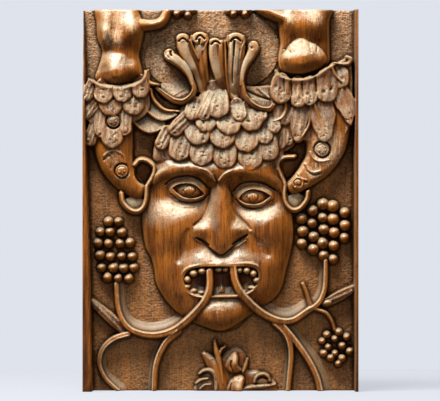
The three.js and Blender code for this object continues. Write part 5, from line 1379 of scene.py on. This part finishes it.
oak = {
    "deep": (0.020, 0.006, 0.0006, 1),
    "brown": (0.070, 0.017, 0.0012, 1),
    "amber": (0.28, 0.078, 0.005, 1),
    "gold": (0.42, 0.13, 0.011, 1),
    "honey": (0.50, 0.22, 0.055, 1),
    "tan": (0.41, 0.185, 0.032, 1),
    "dust": (0.50, 0.455, 0.315, 1),
    # the pale of rubbed wax, also laid on as painted highlight
    "wornAndLit": (0.62, 0.42, 0.24, 1),
    "shade": (0.16, 0.12, 0.06, 1),
    "goldShare": 0.7,          # how much of each colour goes over the ones before
    "fineShare": 0.65,
    "fleckShare": 0.85,
    "punchShare": 0.5,
    "slopeShade": 0.35,
    "ledgeDustAndHighlight": 0.6,          # dust and a painted highlight on slopes that face up
    "dustAndLightSide": (-0.25, 0.0, 0.97),   # the way that such slopes face, up and a little to the left, towards the light
    "undersideShade": 0.55,
    "recessShade": 0.3,
    "creviceShade": 0.8,
    "noises": {
        # marks to the metre across, deep and along, octaves, roughness and waver
        "grain": ((420, 168, 13), 4, 0.7, 0.3),
        "fine": ((1092, 420, 52), 2, 0.6, 0),
        "broad": ((60, 30, 6), 3, 0.6, 0),
        "cloud": ((60, 60, 48), 4, 0.65, 0),
        "speck": ((620, 620, 560), 3, 0.75, 0),
        "fleck": ((260, 430, 760), 3, 0.75, 0),
        "flake": ((230, 230, 300), 4, 0.7, 0),
        "stroke": ((640, 300, 110), 3, 0.65, 0),
    },
    "stipplePitch": 0.0034,    # metres between punch marks of the ground
    "polish": 0.28,            # roughness of the handled parts
    "matt": 0.50,              # roughness of ground and dusty leaves
    "bumpDepth": 0.0016,       # metres
}


def newMaterial(name):
    material = bpy.data.materials.new(name)
    material.use_nodes = True
    return material, material.node_tree, material.node_tree.nodes["Principled BSDF"]


def addNode(tree, kind, values=(), **settings):
    made = tree.nodes.new(kind)
    for name, value in settings.items():
        setattr(made, name, value)
    for name, value in dict(values).items():
        socket = made.inputs[name]
        if isinstance(value, bpy.types.NodeSocket):
            tree.links.new(value, socket)
        else:
            socket.default_value = value
    return made


def oakFinish():
    material, tree, shader = newMaterial("waxedOak")
    place = addNode(tree, "ShaderNodeTexCoord").outputs["Object"]

    def carved(name):
        return addNode(tree, "ShaderNodeAttribute", attribute_name=name).outputs["Fac"]

    def calc(operation, a, b, clamp=False):
        return addNode(tree, "ShaderNodeMath", {0: a, 1: b}, operation=operation, use_clamp=clamp).outputs[0]

    def times(a, b):
        return calc("MULTIPLY", a, b)

    # the part of a value between low and high, spread from toLow to toHigh
    def ranged(source, low, high, toLow=0.0, toHigh=1.0):
        return addNode(tree, "ShaderNodeMapRange", {"Value": source, "From Min": low, "From Max": high,
                                                    "To Min": toLow, "To Max": toHigh}).outputs["Result"]

    def noise(scale, octaves, rough, waver):
        vector = addNode(tree, "ShaderNodeMapping", {"Vector": place, "Scale": scale}).outputs["Vector"]
        return addNode(tree, "ShaderNodeTexNoise", {"Vector": vector, "Scale": 1.0, "Detail": octaves,
                                                    "Roughness": rough, "Distortion": waver}).outputs["Fac"]

    def blend(amount, under, over):
        made = addNode(tree, "ShaderNodeMix", data_type="RGBA")
        for index, given in ((0, amount), (6, under), (7, over)):
            if isinstance(given, bpy.types.NodeSocket):
                tree.links.new(given, made.inputs[index])
            else:
                made.inputs[index].default_value = given
        return made.outputs[2]

    crevice, recess, rub = [carved(name) for name in shading]
    wearAndLight = carved("wearAndPaintedLight")
    skin, leafy, pale, vineOn, grape, slope, plank = [carved(name) for name in finishNames]
    ground = 1.0
    for share in (skin, leafy, pale, vineOn, grape, slope, plank):
        ground = calc("SUBTRACT", ground, share, True)
    facing = addNode(tree, "ShaderNodeNewGeometry").outputs["Normal"]
    upward = addNode(tree, "ShaderNodeVectorMath", {0: facing, 1: oak["dustAndLightSide"]},
                     operation="DOT_PRODUCT").outputs["Value"]
    height = addNode(tree, "ShaderNodeSeparateXYZ", {"Vector": place}).outputs["Z"]
    grain, fine, broad, cloud, speck, fleck, flake, stroke = [noise(*row) for row in oak["noises"].values()]

    wood = blend(ranged(grain, 0.36, 0.64), oak["brown"], oak["amber"])
    wood = blend(times(ranged(broad, 0.42, 0.66), oak["goldShare"]), wood, oak["gold"])
    wood = blend(times(ranged(fine, 0.5, 0.66), oak["fineShare"]), wood, oak["deep"])
    # leaves and ground are greyer with old dust, and speckled; on the leaves and pale rolls it grows where
    # they face the light, a painted highlight, and on the ground it grows towards the top, painted light
    paintedTopLight = ranged(height, 0.06, 0.2, 0.16, 1.0)
    blots = ranged(cloud, 0.38, 0.58, 0.25, 1.0)
    sheen = calc("ADD", times(stroke, 0.55), times(speck, 0.45))
    onLeaves = times(times(leafy, ranged(sheen, 0.45, 0.55, 0.1, 1.0)), ranged(upward, -0.08, 0.3, 0.3, 1.0))
    bloomAndSheen = times(calc("ADD", onLeaves, times(pale, ranged(upward, -0.35, 0.1, 0.15, 0.8))), blots)
    bloomAndSheen = calc("ADD", bloomAndSheen, times(slope, ranged(speck, 0.4, 0.6, 0.05, 0.32)))
    wood = blend(times(ground, ranged(fleck, 0.42, 0.58, 0.05, 0.65)), wood, oak["tan"])
    dustAndLight = calc("ADD", bloomAndSheen, times(times(ground, paintedTopLight), ranged(fleck, 0.48, 0.62, 0.0, 0.9)), True)
    wood = blend(dustAndLight, wood, oak["dust"])
    # wax rubbed off by hands and painted highlights make it paler; wax that lies thick and painted shade make
    # it browner
    uneven = calc("ADD", wearAndLight, ranged(flake, 0.3, 0.7, -0.55, 0.35))
    bareAndLit = times(ranged(uneven, 0.0, 0.5), ranged(wearAndLight, 0.0, 0.3))
    wood = blend(times(bareAndLit, ranged(fine, 0.36, 0.6, 0.9, 0.3)), wood, oak["wornAndLit"])
    wood = blend(calc("MAXIMUM", times(wearAndLight, -1.0), 0.0), wood, oak["brown"])
    # the slopes beside the vines are duller, and dust with a painted highlight lies on what faces up and a
    # little left
    wood = blend(times(slope, oak["slopeShade"]), wood, oak["shade"])
    ledge = times(ranged(upward, 0.12, 0.5), ranged(speck, 0.34, 0.56, 0.35, 1.0))
    wood = blend(times(times(ledge, oak["ledgeDustAndHighlight"]), ranged(slope, 0, 1, 1.0, 0.3)), wood, oak["dust"])
    dotted = calc("ADD", calc("ADD", times(leafy, 0.55), times(pale, 0.3)), times(ground, 0.6), True)
    wood = blend(times(times(ranged(fleck, 0.53, 0.62), dotted), oak["fleckShare"]), wood, oak["deep"])
    wood = blend(times(plank, 0.1), wood, oak["brown"])
    # the punch marks of the ground are darker towards their middle: painted shade in the pits
    dots = addNode(tree, "ShaderNodeTexVoronoi", {"Vector": place, "Scale": 1 / oak["stipplePitch"],
                                                  "Randomness": 0.7}, feature="SMOOTH_F1")
    punch = dots.outputs["Distance"]
    wood = blend(times(times(ranged(punch, 0.42, 0.12), ground), oak["punchShare"]), wood, oak["deep"])
    # light along the rubbed edges; painted shade in the corners, in the recesses and under the ledges
    spared = calc("ADD", calc("ADD", plank, times(grape, 0.35)), times(vineOn, 0.25))
    edges = times(rub, calc("SUBTRACT", ranged(leafy, 0, 1, 0.45, 0.3), spared, True))
    wood = blend(edges, wood, oak["honey"])
    wood = blend(times(ranged(upward, -0.12, -0.7), oak["undersideShade"]), wood, oak["deep"])
    wood = blend(times(recess, oak["recessShade"]), wood, oak["deep"])
    wood = blend(times(crevice, oak["creviceShade"]), wood, oak["deep"])
    tree.links.new(wood, shader.inputs["Base Color"])

    # how dull it is, and how little shines out of dirty corners
    handled = calc("ADD", times(leafy, 0.15), times(bareAndLit, 0.8))
    dull = calc("ADD", calc("ADD", ground, times(slope, 1.4)), handled)
    rough = ranged(dull, 0, 1, oak["polish"], oak["matt"])
    rough = calc("ADD", rough, ranged(speck, 0.35, 0.65, -0.08, 0.14), True)
    rough = calc("SUBTRACT", rough, times(grape, 0.08), True)
    tree.links.new(calc("ADD", rough, times(crevice, 0.3), True), shader.inputs["Roughness"])
    dirt = calc("MAXIMUM", crevice, ranged(upward, 0.0, -0.5))
    tree.links.new(ranged(dirt, 0, 1, 0.5, 0.08), shader.inputs["Specular IOR Level"])

    # punch marks on the ground, pits on the leaves, and grain where it is smooth
    stipple = times(calc("ADD", punch, times(fleck, 0.6)), ground)
    pitted = times(times(speck, leafy), 1.3)
    smooth = calc("ADD", calc("ADD", skin, vineOn), calc("ADD", pale, slope), True)
    streaks = times(calc("ADD", grain, times(speck, 0.4)), times(smooth, 0.35))
    marks = calc("ADD", calc("ADD", stipple, pitted), streaks)
    bump = addNode(tree, "ShaderNodeBump", {"Height": marks, "Strength": 1.0, "Distance": oak["bumpDepth"]})
    tree.links.new(bump.outputs["Normal"], shader.inputs["Normal"])
    return material


sawn = {
    "dark": (0.035, 0.014, 0.005, 1),
    "light": (0.15, 0.064, 0.023, 1),
    "darkTo": 0.32,                # the pattern is dark up to this value
    "lightFrom": 0.7,              # and light from this one
    "grain": (260, 110, 9),        # streaks to the metre across, deep and along
    "heart": (0.05, 0.16, 0),      # metres from the middle of the growth rings to the panel's
    "ringScale": 75.0,
    "ringShare": 0.22,
    "pores": 900.0,                # to the metre
    "poreShare": 0.5,
    "roughness": 0.62,
    "bumpDepth": 0.0008,           # metres
    "faceEdge": 0.0002,            # metres, how near its side of the box a sawn face lies
}


def sawnFinish():
    material, tree, shader = newMaterial("sawnOak")
    place = addNode(tree, "ShaderNodeTexCoord").outputs["Object"]
    lengthwise = addNode(tree, "ShaderNodeMapping", {"Vector": place, "Scale": sawn["grain"]})
    streaks = addNode(tree, "ShaderNodeTexNoise", {"Vector": lengthwise.outputs["Vector"], "Scale": 1.0,
                                                   "Detail": 5.0})
    grain = streaks.outputs["Fac"]
    # growth rings and pores on the sawn ends
    facing = addNode(tree, "ShaderNodeNewGeometry").outputs["Normal"]
    upright = addNode(tree, "ShaderNodeSeparateXYZ", {"Vector": facing}).outputs["Z"]
    onEnd = addNode(tree, "ShaderNodeMath", {0: upright}, operation="ABSOLUTE").outputs[0]
    around = addNode(tree, "ShaderNodeMapping", {"Vector": place, "Location": sawn["heart"],
                                                 "Scale": (1, 1, 0)}).outputs["Vector"]
    rings = addNode(tree, "ShaderNodeTexWave", {"Vector": around, "Scale": sawn["ringScale"],
                                                "Distortion": 1.5, "Detail": 2.0},
                    wave_type="RINGS", rings_direction="Z")
    pores = addNode(tree, "ShaderNodeTexNoise", {"Vector": place, "Scale": sawn["pores"], "Detail": 2.0})
    ends = 0.0
    for marks, share in ((rings, sawn["ringShare"]), (pores, sawn["poreShare"])):
        ends = addNode(tree, "ShaderNodeMath", {0: marks.outputs["Fac"], 1: share, 2: ends},
                       operation="MULTIPLY_ADD").outputs[0]
    pattern = addNode(tree, "ShaderNodeMix", {0: onEnd, 2: grain, 3: ends}, data_type="FLOAT")
    ramp = addNode(tree, "ShaderNodeValToRGB", {"Fac": pattern.outputs[0]})
    stops = ramp.color_ramp.elements
    stops[0].position, stops[1].position = sawn["darkTo"], sawn["lightFrom"]
    stops[0].color, stops[1].color = sawn["dark"], sawn["light"]
    tree.links.new(ramp.outputs["Color"], shader.inputs["Base Color"])
    shader.inputs["Roughness"].default_value = sawn["roughness"]
    bump = addNode(tree, "ShaderNodeBump", {"Height": grain, "Strength": 0.5, "Distance": sawn["bumpDepth"]})
    tree.links.new(bump.outputs["Normal"], shader.inputs["Normal"])
    return material


# the four cut sides and the back are only sawn
def markSawnFaces(piece):
    mesh = piece.data
    centres = triplesOf(mesh.polygons, "center")
    normals = np.abs(triplesOf(mesh.polygons, "normal"))
    onSide = (np.abs(centres[:, 0]) > panelHigh.x - sawn["faceEdge"]) & (normals[:, 0] > 0.9)
    onEnd = (np.abs(centres[:, 2]) > panelHigh.z - sawn["faceEdge"]) & (normals[:, 2] > 0.9)
    onBack = centres[:, 1] > -carving["backSkin"] / 2
    mesh.polygons.foreach_set("material_index", (onSide | onEnd | onBack).astype(np.int32))
    mesh.polygons.foreach_set("use_smooth", ~(onSide | onEnd))
    mesh.update()


relief.data.materials.clear()
relief.data.materials.append(oakFinish())
relief.data.materials.append(sawnFinish())
markSawnFaces(relief)
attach(relief, "root")
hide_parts("green_man_panel")
print("finish: laid on")


studio = {
    "backdrop": (0.737, 0.768, 0.838, 1),
    "floorColour": (0.09, 0.09, 0.1, 1),
    "floorGlow": 0.74,                      # the floor is a light table
    "floorHalf": 0.6,                       # metres
    "roomLight": (1.0, 0.97, 0.93, 1),
    "roomStrength": 0.17,
    "lens": 300.0,
    "sensor": 36.0,
    "frameSquares": (440, 401),             # what the picture takes in, in squares of the sheet
    "farEnd": 100,                          # metres, as far as the camera sees
}


def layFloor():
    half, z = studio["floorHalf"], panelLow.z
    mesh = bpy.data.meshes.new("floor")
    corners = [(-half, -half, z), (half, -half, z), (half, half, z), (-half, half, z)]
    mesh.from_pydata(corners, [], [(0, 1, 2, 3)])
    paint, _, shader = newMaterial("palePaint")
    shader.inputs["Base Color"].default_value = studio["floorColour"]
    shader.inputs["Roughness"].default_value = 0.9
    shader.inputs["Emission Color"].default_value = studio["backdrop"]
    shader.inputs["Emission Strength"].default_value = studio["floorGlow"]
    mesh.materials.append(paint)
    floor = placed("studioFloor", mesh)
    floor.visible_glossy = False


# the camera sees the pale backdrop, and the carving a dimmer and warmer room
def setWorld():
    world = bpy.data.worlds.new("paleStudio")
    bpy.context.scene.world = world
    world.use_nodes = True
    tree = world.node_tree
    seen = tree.nodes["Background"]
    seen.inputs["Color"].default_value = studio["backdrop"]
    seen.inputs["Strength"].default_value = 1.0
    room = addNode(tree, "ShaderNodeBackground", {"Color": studio["roomLight"],
                                                  "Strength": studio["roomStrength"]})
    path = addNode(tree, "ShaderNodeLightPath")
    either = addNode(tree, "ShaderNodeMixShader", {0: path.outputs["Is Camera Ray"], 1: room.outputs[0],
                                                   2: seen.outputs[0]})
    tree.links.new(either.outputs[0], tree.nodes["World Output"].inputs["Surface"])


lights = [
    # name, place, aimed at, width and height in metres, watts, colour, and whether it shows in the wax
    ("key", (-0.52, -0.78, 1.68), (0, -0.06, 0.0), (1.1, 0.72), 104, (1.0, 0.985, 0.96), True),
    ("side", (1.2, -1.3, 0.3), (0, 0, 0), (0.8, 0.8), 5, (1.0, 0.93, 0.85), False),
    ("back", (0.6, 2.4, 1.6), (0, 0, 0), (1.5, 1.5), 20, (1.0, 0.98, 0.96), False),
]


def hangLights():
    for name, place, aim, size, power, colour, shows in lights:
        lamp = bpy.data.lights.new(name + "Light", "AREA")
        lamp.shape = "RECTANGLE"
        lamp.size, lamp.size_y = size
        lamp.energy = power
        lamp.color = colour
        holder = placed(name + "Light", lamp)
        holder.location = place
        holder.rotation_euler = (Vector(aim) - Vector(place)).to_track_quat("-Z", "Y").to_euler()
        holder.visible_glossy = shows


# straight in front with a long lens; a square of the sheet is one step of the picture
def setCamera():
    wide, high = studio["frameSquares"]
    camera = bpy.data.cameras.new("longLens")
    camera.lens = studio["lens"]
    camera.sensor_width = studio["sensor"]
    camera.clip_end = studio["farEnd"]
    holder = placed("longLens", camera)
    middleDepth = -(groundThickness + carving["reliefDepth"] / 2)
    distance = wide * square * camera.lens / camera.sensor_width
    aside = (wide / 2 - (sheet["left"] + sheet["right"]) / 2) * square
    above = ((sheet["top"] + sheet["bottom"]) / 2 - high / 2) * square
    holder.location = (aside, middleDepth - distance, above)
    holder.rotation_euler = (math.radians(90), 0, 0)
    bpy.context.scene.camera = holder


layFloor()
setWorld()
hangLights()
setCamera()
viewSettings = bpy.context.scene.view_settings
viewSettings.view_transform = "Standard"
viewSettings.look = "None"
print("studio: ready")
